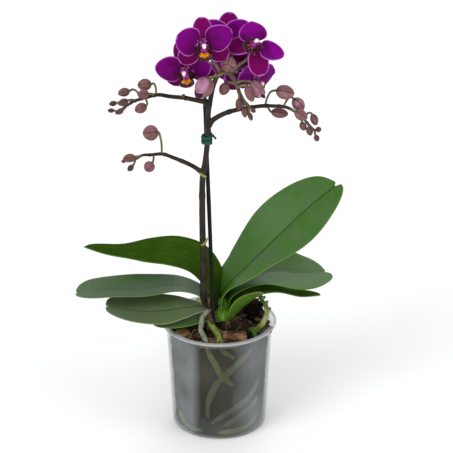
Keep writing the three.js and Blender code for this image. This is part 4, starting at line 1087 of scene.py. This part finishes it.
# %% The tree that sets copies on points
copy_tree, given, made, copy_ids = group_tree("copies on points", Form="Object")
form = add(copy_tree, "GeometryNodeObjectInfo", Object=given.outputs["Form"])
size, turn = [add(copy_tree, "GeometryNodeInputNamedAttribute", {"data_type": "FLOAT_VECTOR"}, Name=name)
              for name in ("size", "turn")]
facing = add(copy_tree, "FunctionNodeEulerToRotation", Euler=turn)
copies = add(copy_tree, "GeometryNodeInstanceOnPoints", Points=given.outputs["Geometry"],
             Instance=form.outputs["Geometry"], Rotation=facing, Scale=size)
real = add(copy_tree, "GeometryNodeRealizeInstances", Geometry=copies)
painted = add(copy_tree, "GeometryNodeSetMaterial", Geometry=pushed(copy_tree, given, real),
              Material=given.outputs["Material"])
wire(copy_tree, made, Geometry=painted)


def scatter(name, form, wanted, material, bump=0.0, grain=300.0, smooth=True):
    """Copies of a unit form as one mesh; each wanted copy is (place, Euler turn, size in mm, tone)."""
    model = new_piece(name + "_form", {**form, "points": form["points"] / MM}, material, smooth=smooth)
    places, turns, sizes, tones = zip(*wanted)
    cloud = bpy.data.meshes.new(name)
    cloud.from_pydata([tuple(np.array(place) * MM) for place in places], [], [])
    sizes = [np.array(size) * MM for size in sizes]
    for key, rows in (("size", sizes), ("turn", turns)):
        attribute = cloud.attributes.new(key, "FLOAT_VECTOR", "POINT")
        attribute.data.foreach_set("vector", np.array(rows, float).ravel())
    attribute = cloud.attributes.new("tone", "FLOAT", "POINT")
    attribute.data.foreach_set("value", tones)
    piece = run_tree(cloud, copy_tree, copy_ids, name, bump, grain, Form=model, Material=material)
    bpy.data.objects.remove(model)
    return piece


RIPE, UNRIPE = 10.0, 3.5


def buds(name, wanted):
    """Buds as one mesh; each wanted bud is (stalk path, tip point, width), and wide ones are riper."""
    rows = []
    for number, (path, tip, wide) in enumerate(wanted):
        axis = Vector(np.subtract(tip, path[-1]).tolist())
        ripe = min(1.0, max(0.0, (wide - UNRIPE) / (RIPE - UNRIPE)))
        tone = 0.05 + 0.55 * ripe + 0.2 * ((number * 0.618 + 0.3) % 1)
        rows.append((path[-1], axis.to_track_quat("Z", "Y").to_euler(), (wide, wide, axis.length), tone))
    return scatter(name, bud_form(), rows, bud_skin)


print("copy tree nodes:", len(copy_tree.nodes))

# %% Sprays
SPRAYS = {
    "spray_left": dict(
        fork=(-8.4, -13, 278.6),
        radius=(2.0, 0.9), joints=(0.23, 0.55, 0.62, 0.75, 0.8, 0.9),
        branch=[(-9.9, -13, 279.8), (-16, -12.6, 281), (-26, -12, 282.8), (-37, -12, 284), (-46, -12, 285.4),
                (-53, -12, 284), (-59, -12, 282), (-65, -12, 280), (-70, -11, 276), (-75, -10, 272),
                (-79, -10, 269)],
        buds=[([(-48, -12, 285.6), (-48, -12, 291), (-49.6, -10, 294), (-51.4, -9, 293)],
               (-62, -7, 291), 9.4),
              ([(-50, -12.6, 285), (-51, -15, 287.6), (-53, -18, 288.6)], (-62, -19, 288.6), 7.4),
              ([(-60, -12, 281.6), (-62.6, -10.6, 287.6), (-65.6, -9, 288.6), (-68, -8, 287)],
               (-77, -8, 284.6), 6.8),
              ([(-63, -12, 280.6), (-66, -13.4, 282), (-69, -14, 281.6)], (-77, -14, 278.4), 5.6),
              ([(-56, -12, 283), (-54.6, -13, 278.6), (-55.2, -13, 277)], (-64, -13.4, 272.6), 8),
              ([(-71, -11, 275), (-73, -13, 273.4)], (-78.6, -14.4, 271), 4.6),
              ([(-71, -11, 275.4), (-76, -7, 276.6), (-78, -6, 276.2)], (-84, -6, 275), 4.2),
              ([(-77, -10, 270.6), (-80, -10, 271.4)], (-85, -10, 271.6), 3.6),
              ([(-26.4, -12.6, 284), (-26.6, -13.6, 285)], (-27.4, -16, 286.4), 3)]),
    "spray_low": dict(
        fork=(-12, -13, 220.6),
        radius=(1.9, 0.9), joints=(0.3, 0.52, 0.7, 0.85),
        branch=[(-15.4, -13, 223), (-19, -12.4, 225.4), (-26, -12, 229), (-35, -12, 233), (-43, -12, 236),
                (-53, -12, 235.4), (-59, -12, 235), (-63, -12, 232.4), (-67, -12, 230.4), (-71, -12, 230)],
        buds=[([(-44, -12, 235), (-44, -12, 244), (-44.8, -11.4, 249.4), (-46.4, -11, 254)],
               (-58.4, -11, 252.6), 12.2),
              ([(-60, -12, 234.6), (-64.4, -14.6, 235)], (-73.6, -16.4, 233.4), 6.8),
              ([(-50, -12, 235.4), (-50.4, -14, 231.4), (-51, -15.4, 230.4)], (-56, -20.6, 225.6), 8.6),
              ([(-64, -12, 231.6), (-65.4, -10.6, 227), (-66.2, -10, 225.6)], (-70, -10, 221), 4.6),
              ([(-70, -12, 230.4), (-71.6, -12, 230.2)], (-75, -12, 229.8), 3)]),
    "spray_right": dict(
        fork=(-8, -13, 261),
        radius=(2.0, 0.9), joints=(0.2, 0.38, 0.5, 0.6, 0.75, 0.88),
        branch=[(-5.2, -12.7, 264.2), (-2, -12.4, 266.6), (4, -12.4, 270), (12, -13, 273), (22, -14, 275.4),
                (33, -14, 277), (42, -14, 277), (51, -14, 276), (57, -14, 273), (64, -14, 267),
                (69, -14, 261), (73, -14, 256.4), (73.6, -14, 253)],
        buds=[([(35, -14, 277), (37, -13, 284), (39.6, -12, 288), (43.4, -12, 289)], (57.4, -12, 286), 11.2),
              ([(49, -14, 276.4), (52, -10, 280.4), (54.4, -8, 282), (57, -8, 280.4)],
               (64.4, -7.6, 271), 9.4),
              ([(54, -14, 274.6), (58, -19, 275)], (67, -21.4, 269.4), 8.4),
              ([(37, -13.4, 276.6), (38.6, -8, 271), (40, -6, 268.6)], (53, -5, 266.4), 8),
              ([(65, -13.6, 266), (68.4, -10.6, 270), (71.4, -10, 268.4)], (74.4, -10, 259.4), 6.2),
              ([(64, -14, 267), (63, -16.6, 264.6)], (65.4, -16, 257.6), 5.6),
              ([(69, -14, 261), (68.4, -17.4, 261.4)], (70, -17.6, 254), 5.4),
              ([(72, -14, 257.6), (74, -12.4, 256.4)], (78.4, -12, 257), 4.4),
              ([(73.6, -14, 254), (73.8, -14, 252.8)], (75.6, -14, 247.6), 4.4)]),
}


def flared(radius):
    """The same radius, widened where the spray leaves the spike."""
    return lambda t: radius(t) + 1.3 * math.exp(-t / 0.03)


def stalks_into(buds_on_paths):
    """A stalk for each bud, led a little way into the bud."""
    paths = [path + [tuple(np.array(path[-1]) + 0.15 * np.subtract(tip, path[-1]))]
             for path, tip, _ in buds_on_paths]
    return [(path, lambda t: 0.82 + 0.25 * t**3) for path in paths]


for name, spray in SPRAYS.items():
    radius = flared(jointed(*spray["radius"], spray["joints"], 0.2))
    stem = tubes(f"{name}_stem", [([spray["fork"]] + spray["branch"], radius)], dark_stem, sides=18, bump=0.4,
                 grain=per_metre(10), step=0.8)
    finish_piece(stem, "stem", name)
    stalks = stalks_into(spray["buds"])
    finish_piece(tubes(f"{name}_stalks", stalks, bud_stalk, sides=10, bump=0.15, grain=per_metre(4)), "stem")
    finish_piece(buds(f"{name}_buds", spray["buds"]), "bud")

# %% Buds at the end of the spike
TIP_BUDS = [
    ([(15, -18, 291), (15.4, -21.4, 286.6)], (15, -23.6, 277.4), 5.4),
    ([(18.6, -18, 283.4), (18.8, -20.4, 279.4)], (20, -21, 270.4), 4.8),
    ([(22, -18, 279), (22.8, -19.6, 274)], (25, -20, 267.4), 3.8),
    ([(23.6, -18, 277), (24.6, -18, 276.6)], (27.6, -18, 273.4), 3.8),
    ([(20.6, -17.8, 280.6), (21.4, -17, 276)], (22.6, -17, 270.6), 4),
]
stalks = stalks_into(TIP_BUDS)
finish_piece(tubes("spike_tip_stalks", stalks, bud_stalk, sides=10, bump=0.15, grain=per_metre(4)), "stem")
finish_piece(buds("spike_tip_buds", TIP_BUDS), "bud")

# %% [markdown]
# ## Buds about to open
# The five biggest buds stand among the blooms. Three are still closed. Two have begun to part: their
# pink sepals stand off a dark magenta core of folded petals, which peeps out at one side.

# %% Big buds
folded_skin = streaked_skin("folded petal", 0.5, [(0.3, "#240018"), (0.7, "#500a44")], 3, 0.2, 0.4)
CLOSED = {"bud_round": ((7, -19.8, 314), (7, -31.4, 319), 11.8, 0.62),
          "bud_hanging": ((6.2, -20.2, 298.4), (2, -21.4, 289.4), 8.2, 0.45),
          "bud_folded": ((21, -26.4, 299), (25.6, -29.6, 287.2), 7.2, 0.6)}
PARTED = {"bud_opening": ((-7.8, -25.6, 305), (-14.4, -33.4, 293.6), 15.0, 0.74, (-2.4, 0.6, -2.2)),
          "bud_half_open": ((24.4, -20, 299.4), (33.2, -21.6, 288.4), 10.4, 0.52, (1.8, -0.4, -1.6))}


SHELLS = ((-0.05, -0.12, 0.78, 1.1, 0), (0.07, 0.19, 0.7, 0.85, 0.352))


def big_bud(stalk, tip, wide, tone, which=0, **form):
    """One closed bud with a tone for its material, and its material's number."""
    part = standing(bud_form(rows=40, around=60, **form), stalk, tip, wide)
    tones = np.full(len(part["points"]), float(tone))
    return {**part, "values": {**part["values"], "tone": tones}, "which": np.full(len(part["faces"]), which)}


for name, bud in CLOSED.items():
    finish_piece(new_piece(f"{name}_sepals", big_bud(*bud), bud_skin), "bud", name)

for name, (stalk, tip, wide, inner, peep) in PARTED.items():
    side = unit(np.cross(np.subtract(tip, stalk), [0, 1, 0])) * wide
    parts = [big_bud(stalk, np.add(tip, peep), wide * inner, 0.5, 1, depth=0.1)]
    for near, far, broad, tone, turn in SHELLS:
        parts.append(big_bud(stalk + side * near, tip + side * far, wide * broad, tone, seams=1, depth=0.08,
                             turn=turn))
    finish_piece(new_piece(f"{name}_sepals", joined(parts), bud_skin, folded_skin), "bud", name)

# %% [markdown]
# ## Blooms
# A moth orchid bloom has three sepals behind two broad petals, and a lip in front under the column.
# These blooms are deep magenta-purple with a thin pale margin, redder sepals with faint veins, and a
# few lilac blotches near the claws. The stored values give the distance from the margin and from the
# bloom's middle in millimetres, the kind of blade and how much painted shade it gets, and the UV map
# gives its length and breadth. The painted shade differs from bloom to bloom and is deeper on the two
# lower sepals.

# %% Petal materials
def petal_material(name, petal, sepal, margin, vein, spots):
    """petal and sepal are colours at the claw and at the end; the third sepal colour is the painted shade
    that deep mixes in.
    """
    material, tree, shader, place = new_material(name, Roughness=0.6, Specular_IOR_Level=0.04)
    uv = add(tree, "UVMap", {"uv_map": "along"})
    parts = add(tree, "SeparateXYZ", Vector=uv)
    kind, edge, deep, reach = [add(tree, "Attribute", {"attribute_name": kept}).outputs["Fac"]
                               for kept in ("kind", "edge", "deep", "reach")]
    clouds = add(tree, "TexNoise", Vector=place, Scale=per_metre(6), Detail=3.0)
    grain = add(tree, "TexNoise", Vector=place, Scale=per_metre(0.6), Detail=2.0)
    out = swayed(tree, parts.outputs["Y"], (clouds, 0.2))
    petals = add(tree, "ValToRGB", stops=[(0.15, petal[0]), (0.75, petal[1])], Fac=out)
    sepals = add(tree, "ValToRGB", stops=[(0.15, sepal[0]), (0.8, sepal[1])], Fac=out)
    body = add(tree, "Mix", COLOURS, Factor=kind, A=petals, B=sepals)
    # Painted shade: deep mixes in the darkest sepal colour.
    body = add(tree, "Mix", COLOURS, Factor=deep, A=body, B=sepal[2])
    vein_place = add(tree, "Mapping", Vector=uv, Scale=(34.0, 2.2, 1.0))
    veins = add(tree, "TexNoise", Vector=vein_place, Scale=1.0, Detail=2.0)
    body = laid_over(tree, body, vein, veins, 0.52, 0.66, 0.0, 0.35)
    near = add(tree, "MapRange", Value=reach, n1=4.6, n2=7.0, n3=1.0, n4=0.0)
    dots = add(tree, "TexNoise", Vector=place, Scale=per_metre(2.2), Detail=1.0)
    dotted = add(tree, "MapRange", Value=dots, n1=0.52, n2=0.62, n3=0.0, n4=spots)
    spot = add(tree, "Math", {"operation": "MULTIPLY"}, n0=near, n1=dotted)
    body = add(tree, "Mix", COLOURS, Factor=spot, A=body, B="#b070a8")
    body = laid_over(tree, body, margin, edge, 0.45, 1.0, 0.9, 0.0)
    rough = add(tree, "MapRange", Value=grain, n1=0.3, n2=0.7, n3=0.48, n4=0.64)
    dress(tree, shader, body, (veins, 0.12, 0.4), (grain, 0.1, 0.1), Roughness=rough)
    return material


petal_front = petal_material("magenta petal, front", ("#4c0044", "#78007c"),
                             ("#640040", "#76005c", "#36001c"), "#b062b4", "#5c0c38", 0.7)
petal_back = petal_material("magenta petal, back", ("#4c1040", "#642858"),
                            ("#4c203a", "#66324e", "#30101c"), "#8c5488", "#6c3c54", 0.0)


def spotted_skin(name, low, high, spot, spot_size, amount):
    """A waxy skin clouded between two colours, with spots of a third."""
    material, tree, shader, place = new_material(name, Roughness=0.45, Specular_IOR_Level=0.1)
    clouds = add(tree, "TexNoise", Vector=place, Scale=per_metre(2.5), Detail=2.0)
    dots = add(tree, "TexNoise", Vector=place, Scale=per_metre(spot_size), Detail=1.0)
    body = add(tree, "ValToRGB", stops=[(0.35, low), (0.65, high)], Fac=clouds)
    body = laid_over(tree, body, spot, dots, 0.56, 0.62, 0.0, amount)
    dress(tree, shader, body, (dots, 0.1, 0.2))
    return material


column_skin = spotted_skin("waxy column", "#6a0a58", "#8c2080", "#b070b0", 1.0, 0.7)
anther_skin = spotted_skin("cream anther cap", "#cfc0bc", "#efe6de", "#b890a8", 1.2, 0.5)
lobe_skin = spotted_skin("maroon lip lobe", "#1c0009", "#340016", "#4c0c30", 0.9, 0.4)
middle_skin = spotted_skin("dusky lip lobe", "#300e20", "#482238", "#604458", 1.2, 0.5)
callus_skin = spotted_skin("yellow callus", "#a86410", "#d08a18", "#5c1c08", 0.9, 0.85)
print("bloom materials:", petal_front.name, "|", petal_back.name, "|", column_skin.name, "|", lobe_skin.name)

# %% Bloom shapes
PETAL_THICK, LOBE_THICK, CLAW = 0.8, 0.9, 0.19
PETAL_FORM, SEPAL_FORM = (0.3, 0.56), (0.7, 0.5)


def tepal(long, wide, degrees, lift, sweep, cup, kind, deep, seed, rows=36, columns=31):
    """One petal or sepal in the bloom's own frame, leaning the way it grows.

    A petal is a narrow claw and a broad fan; a sepal widens from its foot, to a soft point.
    """
    fan = eased(rows)
    claw, form = (0.0, SEPAL_FORM) if kind else (CLAW, PETAL_FORM)
    t = np.concatenate([np.linspace(0, claw, 5)[:-1], claw + (1 - claw) * fan] if claw else [fan])[:, None]
    v = across(columns)
    sweep = math.radians(sweep)
    s = np.clip((t - claw) / (1 - claw), 0, 1)
    half = np.maximum(np.hypot(2.2 * (1 - s) ** 2, wide / 2 * share_of_width(s, *form)), 0.7)
    z = lift - math.sin(sweep) * t * long - cup * wide * v**2 * t - 0.06 * long * t**2
    z = z + 0.45 * np.sin(7 * t + 3 * v + 2.3 * seed) * np.abs(v) ** 3 * t
    z = z + 0.3 * np.sin(9 * v + seed) * t**4 - 0.3 * np.exp(-((v * half / 0.9) ** 2)) * (1 - 0.5 * t)
    middle = np.stack(np.broadcast_arrays(v * half, math.cos(sweep) * t * long, z), axis=-1)
    rim = np.minimum(half * (1 - np.abs(v)), long * (1 - t) + 0.01 + 0 * v)
    reach = np.hypot(middle[..., 0], middle[..., 1])
    thick = PETAL_THICK * np.clip(0.4 + rim / 1.5, 0, 1)
    part = blade_part(middle, thick, v, t, edge=rim, reach=reach, kind=kind, deep=deep)
    c, s = math.cos(math.radians(degrees)), math.sin(math.radians(degrees))
    turn = np.array([[c, s, 0], [-s, c, 0], [0, 0, 1]])
    return {**part, "points": part["points"] @ turn.T}


PLAIN = dict(edge=9.0, reach=99.0, kind=0.0, deep=0.0)


def lump(path, radius, rows, around, which=0, flat=1.0):
    """A closed round body along a path in the bloom's frame, squashed from front to back by flat."""
    curve = smooth_curve(path, 60)
    t = eased(rows)
    centre, tangent = at(curve, t), unit(at(np.gradient(curve, axis=0), t))
    right = unit(np.cross([0.0, 1.0, 0.1], tangent))
    third = np.cross(tangent, right) * flat
    angle = np.linspace(0, TURN, around, endpoint=False)
    size = np.array([radius(s) for s in t])[:, None, None]
    ring = right[:, None] * np.cos(angle)[None, :, None] + third[:, None] * np.sin(angle)[None, :, None]
    return ring_part(centre[:, None] + size * ring, t, angle, which, **PLAIN)


def round_end(full):
    """A radius that closes softly at both ends."""
    return lambda t: full * min(1, (1 - abs(2 * t - 1) ** 6) ** 0.5 + 0.05)


def cap_radius(t):
    """The anther cap's radius along it, which closes at both ends and narrows forwards."""
    return 1.95 * (1 - 0.5 * t) * math.sqrt(max(0.02, 1 - abs(2 * t - 1) ** 5))


def tepals(petals, sepals, deep, seed):
    """Five blades and the column; a blade is (length, width, degrees from straight up, sweep back)."""
    under, over = dict(lift=-0.9, cup=0.06, kind=1.0), dict(lift=0.2, cup=0.08, kind=0.0)
    # The two lower sepals get 0.3 more painted shade than the rest of the bloom.
    parts = [tepal(*size, degrees, sweep=sweep, seed=seed + i, deep=min(1, deep + 0.3 * (i > 0)), **under)
             for i, (*size, degrees, sweep) in enumerate(sepals)]
    parts += [tepal(*size, degrees, sweep=sweep, seed=seed + len(sepals) + i, deep=deep, **over)
              for i, (*size, degrees, sweep) in enumerate(petals)]
    parts.append(lump([(0, -0.5, -1.8), (0, 0.8, 2.5), (0, 1.2, 7.2)],
                      lambda t: (2.6 - 0.5 * t) * min(1, 0.2 + 9 * (1 - t)), 24, 28, 2))
    parts.append(lump([(0, 1.6, 4.6), (0, -1.6, 5.8), (0, -5, 5.6)], round_end(3.1), 18, 28, 2, 0.55))
    parts.append(lump([(0, 2.6, 6.9), (0, 0.9, 8.3), (0, -0.8, 8.5)], cap_radius, 18, 24, 3, 0.75))
    return joined(parts)


def lobe(middle, which, rim):
    """One lobe of the lip from its middle grid; rim is the distance from its margin in millimetres."""
    points, faces, _ = blade_shell(middle, LOBE_THICK * np.clip(0.45 + rim / 1.2, 0, 1))
    return new_part(points, faces, np.zeros((len(points), 2)), which, **PLAIN)


def side_lobe(side, rows=20, columns=15):
    """A standing crescent beside the column, its hollow side towards the middle."""
    t = np.linspace(0, 1, rows)[:, None]
    v = across(columns)
    half = 2.1 * np.sin(math.pi * (0.12 + 0.76 * t)) * np.minimum(1, (1.02 - t) / 0.12) ** 0.5
    bend = math.pi * (0.16 + 0.62 * t)
    middle = np.stack(np.broadcast_arrays(
        side * (0.6 + 4.6 * np.sin(bend) + 0.7 * v * half), -2.4 - 5 * np.cos(bend) + 0.2 * v * half,
        4.8 + 2.2 * t - 0.7 * v * half + 0.25 * (v * half) ** 2), axis=-1)[:, ::int(side)]
    return lobe(middle, 0, np.minimum(half * (1 - np.abs(v)), 7 * (1 - t) + 0 * v))


def middle_lobe(rows=24, columns=21):
    """A wide shallow cup in front, with a rounded end and a low ridge along it."""
    t = np.linspace(0, 1, rows)[:, None]
    v = across(columns)
    half = (1.6 + 4.3 * np.sin(math.pi * (0.08 + 0.62 * t**0.8))) * np.minimum(1, (1.04 - t) / 0.25) ** 0.5
    rise = 3.6 + 5.8 * t - 1.4 * t * t + 1.5 * v * v - 0.35 * np.exp(-((v / 0.2) ** 2))
    middle = np.stack(np.broadcast_arrays(-v * half, -4.4 - 6.4 * t + 1.2 * v * v, rise), axis=-1)
    return lobe(middle, 1, np.minimum(half * (1 - np.abs(v)), 8 * (1 - t) + 0 * v))


def labellum(callus_size):
    """The lip: claw, two standing side lobes, the middle lobe and the callus between them."""
    callus = [lump([(x * 0.6, y + 1, 4.6), (x, y, 6.4), (x * 1.1, y - 0.5, 5.2 + 3.4 * callus_size)],
                   round_end(r * callus_size), 14, 20, 2)
              for x, y, r in ((-2.1, -5.4, 1.75), (2.1, -5.4, 1.75), (0, -6.4, 1.7))]
    claw = lump([(0, -3.2, 1.9), (0, -4, 3.4), (0, -5.2, 5.8)], lambda t: 1.4 + 0.9 * t, 10, 18, 0)
    return joined([claw, side_lobe(1), side_lobe(-1), middle_lobe()] + callus)


def placed(part, bloom):
    """A part in a bloom's own frame, moved to where the bloom is."""
    return {**part, "points": np.array(bloom["at"]) + part["points"] @ bloom_axes(bloom).T}


for number, (name, bloom) in enumerate(BLOOMS.items()):
    blades = placed(tepals(bloom["petals"], bloom["sepals"], bloom["deep"], 7 * number), bloom)
    piece = new_piece(f"{name}_tepals", blades, petal_front, petal_back, column_skin, anther_skin)
    finish_piece(piece, "petal", f"{name}_petals")
    lip = placed(labellum(bloom["callus"]), bloom)
    piece = new_piece(f"{name}_labellum", lip, lobe_skin, middle_skin, callus_skin)
    finish_piece(piece, "lip", f"{name}_lip")

# %% [markdown]
# ## Potting mix
# The pot is full of coarse bark. One body fills it to the wall, with cracks between the pieces pressed
# into its surface by a cell pattern and darkened with painted shade by another, so that the milky wall
# shows light and dark patches.
# On top lie loose chips: four big ones at the front, as in the photograph, and smaller ones that a
# Geometry Nodes tree scatters from seeded points. Four dark slivers lie against the wall.

# %% Bark materials
def bark_material(name, dark, mid, pale, relief, crack=None):
    """Corky bark: layers along the grain, dark pores and, with a crack size in mm, painted shade in the gaps
    between pieces.
    """
    material, tree, shader, place = new_material(name, Roughness=0.9)
    flat = add(tree, "Mapping", Vector=place, Scale=(0.3, 1.0, 1.6))
    layers = add(tree, "TexNoise", Vector=flat, Scale=per_metre(1.6), Detail=5.0, Roughness=0.65)
    clouds = add(tree, "TexNoise", Vector=place, Scale=per_metre(9), Detail=3.0)
    pores = add(tree, "TexNoise", Vector=place, Scale=per_metre(0.8), Detail=3.0)
    tone = add(tree, "Attribute", {"attribute_name": "tone"}).outputs["Fac"]
    tone = swayed(tree, tone, (clouds, 0.3), (layers, 0.35 * relief))
    body = add(tree, "ValToRGB", stops=[(0.1, dark), (0.5, mid), (0.95, pale)], Fac=tone)
    if crack:
        cells = add(tree, "TexVoronoi", {"feature": "DISTANCE_TO_EDGE"}, Vector=place, Scale=per_metre(crack))
        # Painted shade in the cracks between the bark pieces.
        body = laid_over(tree, body, "#120b06", cells, 0.03, 0.16, 1.0, 0.0)
    dress(tree, shader, body, (layers, 0.5 * relief, 1.0), (pores, 0.4 * relief, 0.4))
    return material


chip_skin = bark_material("composted pine bark", "#140d08", "#422d1e", "#86664a", 1.0)
packed_skin = bark_material("packed bark against the wall", "#060505", "#1c1817", "#362f28", 0.1, 11)
print("bark materials:", chip_skin.name, "|", packed_skin.name)

# %% Packed bark body
MIX_FLOOR, MIX_SHOULDER, MIX_DOME = 2.0, 83.5, 88.2
outline = [(0, MIX_FLOOR), (20, MIX_FLOOR), (WALL_BASE - WALL - 2.6, MIX_FLOOR)]
outline += [(inner_radius(z) - 1.0, z) for z in np.linspace(CORNER + 1, MIX_SHOULDER, 34)]
outline += [(36, MIX_SHOULDER + 0.6), (31, MIX_SHOULDER + 1.2)]
outline += [(r, MIX_SHOULDER + 1.2 + (MIX_DOME - MIX_SHOULDER - 1.2) * (1 - r / 31))
            for r in (27, 22, 17, 12, 7, 3)]
outline += [(0, MIX_DOME)]
body = lathe(outline, 160, tone=0.35)


def dented(points, depth, size, inward):
    """Points pressed in where a cell pattern of this size has its gaps; inward gives each direction."""
    moved = points.copy()
    for i, p in enumerate(points):
        near = value_noise.voronoi(Vector(p / size), distance_metric="DISTANCE")[0]
        gap = max(0.0, 1 - (near[1] - near[0]) / 0.35)
        lumps = value_noise.noise(Vector(p / (0.7 * size)))
        moved[i] += inward[i] * depth * (0.75 * gap + 0.25 * (0.5 - lumps))
    return moved


inward = -unit(body["points"] * [1, 1, 0] + 1e-9)
top = body["points"][:, 2] > MIX_SHOULDER - 1
inward[top] = [0, 0, -1]
body["points"] = dented(body["points"], 1.4, 9.0, inward)
finish_piece(new_piece("bark_packed", body, packed_skin), "bark_mix", "mix")


# %% Loose chips
ROUNDNESS = 9.0


def chip_form(steps, rough, seed=0.0):
    """A split chip of unit size: a rounded box with stepped, broken faces."""
    line = np.linspace(-1, 1, steps)
    points, faces = [], []
    for axis in range(3):
        for end in (-1, 1):
            u, v = np.meshgrid(line, line, indexing="ij")
            grid = np.empty((steps, steps, 3))
            grid[..., axis], grid[..., (axis + 1) % 3], grid[..., (axis + 2) % 3] = end, u, v
            number = np.arange(steps * steps).reshape(steps, steps) + len(points) * steps * steps
            quad = np.stack([number[:-1, :-1], number[1:, :-1], number[1:, 1:], number[:-1, 1:]], axis=-1)
            faces += (quad if end > 0 else quad[..., ::-1]).reshape(-1, 4).tolist()
            points.append(grid.reshape(-1, 3))
    cube = np.concatenate(points)
    power = (np.abs(cube) ** ROUNDNESS).sum(axis=1, keepdims=True) ** (1 / ROUNDNESS)
    cube = cube / power
    _, first, back = np.unique(cube.round(6), axis=0, return_index=True, return_inverse=True)
    back = back.reshape(-1)
    welded = cube[first]
    lumps = np.array([value_noise.noise(Vector(p * 1.3 + seed)) for p in welded])
    steps_in = np.array([value_noise.noise(Vector((p[0] * 0.6 + seed, p[1] * 3, p[2] * 4))) for p in welded])
    welded = welded * (1 + rough * lumps + 0.6 * rough * np.round(steps_in * 3) / 3)[:, None] / 2
    faces = [[int(back[i]) for i in face] for face in faces]
    return new_part(welded, faces, welded[:, :2] + 0.5)


FRONT_CHIPS = [
    ((12.5, -26.5, 86.4), (18, 9, 6), 3, 12, 0.62), ((12.5, -16, 88.6), (22, 8, 6), -10, 8, 0.05),
    ((17, -10.5, 88.6), (11, 8, 5), 20, 6, 0.2), ((-28, -21, 86), (10, 9, 5), 38, 10, 0.8),
    ((-29.6, -19, 42.3), (5, 1.6, 2.6), -57, 0, -0.2), ((-18, -30.9, 45.4), (3, 1.6, 2), -30, 0, -0.2),
    ((31.6, -17, 65.2), (3, 1.6, 4.4), 61.6, 0, -0.2), ((24, -26, 18), (7, 1.4, 1.2), 43, 40, -0.2),
]
front = []
for number, (place, size, turn, tilt, tone) in enumerate(FRONT_CHIPS):
    form = chip_form(22, rough=0.16, seed=3.1 * number)
    a, b = math.radians(turn), math.radians(tilt)
    tilted = np.array([[1, 0, 0], [0, math.cos(b), -math.sin(b)], [0, math.sin(b), math.cos(b)]])
    turned_round = np.array([[math.cos(a), -math.sin(a), 0], [math.sin(a), math.cos(a), 0], [0, 0, 1]])
    points = (form["points"] * size) @ (turned_round @ tilted).T + place
    front.append({**form, "points": points, "values": {"tone": np.full(len(points), tone)}})
finish_piece(new_piece("bark_front_chips", joined(front), chip_skin), "bark_mix")

luck = np.random.default_rng(11)
CHIPS, SPREAD, CROWN_DROP = 120, 38, 4.2
loose = []
for i in range(CHIPS):
    angle, radius = 2.4 * i + luck.uniform(0, 0.8), SPREAD * math.sqrt((i + 0.5) / CHIPS)
    height = MIX_DOME - 0.4 - CROWN_DROP * (radius / SPREAD) ** 2
    big = (luck.uniform(5, 11), luck.uniform(4, 7), luck.uniform(2.5, 4.5))
    euler = (luck.uniform(-0.35, 0.35), luck.uniform(-0.35, 0.35), luck.uniform(0, TURN))
    place = (radius * math.cos(angle), radius * math.sin(angle), height)
    loose.append((place, euler, big, luck.uniform(0, 0.7)))
for i in range(CHIPS):
    wide, deep = luck.normal(0, 1, 2)
    height = 86.5 + 9 * math.exp(-(wide**2 + deep**2) / 2) * luck.uniform(0.3, 1)
    place = (20 + 6.5 * wide, 20 + 5.5 * deep, height)
    if i >= 70:
        place = (27 + 4 * wide, 17 + 4 * deep, height + 1)
    if math.hypot(place[0], place[1]) < 36:
        big = (luck.uniform(4, 8), luck.uniform(3, 6), luck.uniform(2.5, 4.5))
        loose.append((place, tuple(luck.uniform(-0.8, 0.8, 3)), big, luck.uniform(-0.1, 0.2)))
chips = scatter("bark_loose_chips", chip_form(5, rough=0.35), loose, chip_skin, 2.2, per_metre(3.5),
                smooth=False)
finish_piece(chips, "bark_mix")

# %% Fibres
fibre_skin = stem_material("dry bark fibre", "#54442e", "#8a7654", "#2a2018", 0.4, 0.9)
fibres = []
for i in range(70):
    angle, radius = luck.uniform(0, TURN), luck.uniform(5, 34)
    height = MIX_DOME + 2.2 - CROWN_DROP * (radius / SPREAD) ** 2
    start = np.array([radius * math.cos(angle), radius * math.sin(angle), height])
    run, way = luck.uniform(6, 16), luck.uniform(0, TURN)
    step = np.array([run * math.cos(way), run * math.sin(way), luck.uniform(-2, 1)])
    bow = np.array([luck.uniform(-3, 3), luck.uniform(-3, 3), luck.uniform(1, 4)])
    end = start + step
    if math.hypot(end[0], end[1]) < SPREAD:
        fibres.append(([tuple(start), tuple(start + step / 2 + bow), tuple(end)], luck.uniform(0.14, 0.3)))
finish_piece(tubes("bark_fibres", fibres, fibre_skin, sides=6, step=1.5), "bark_mix")
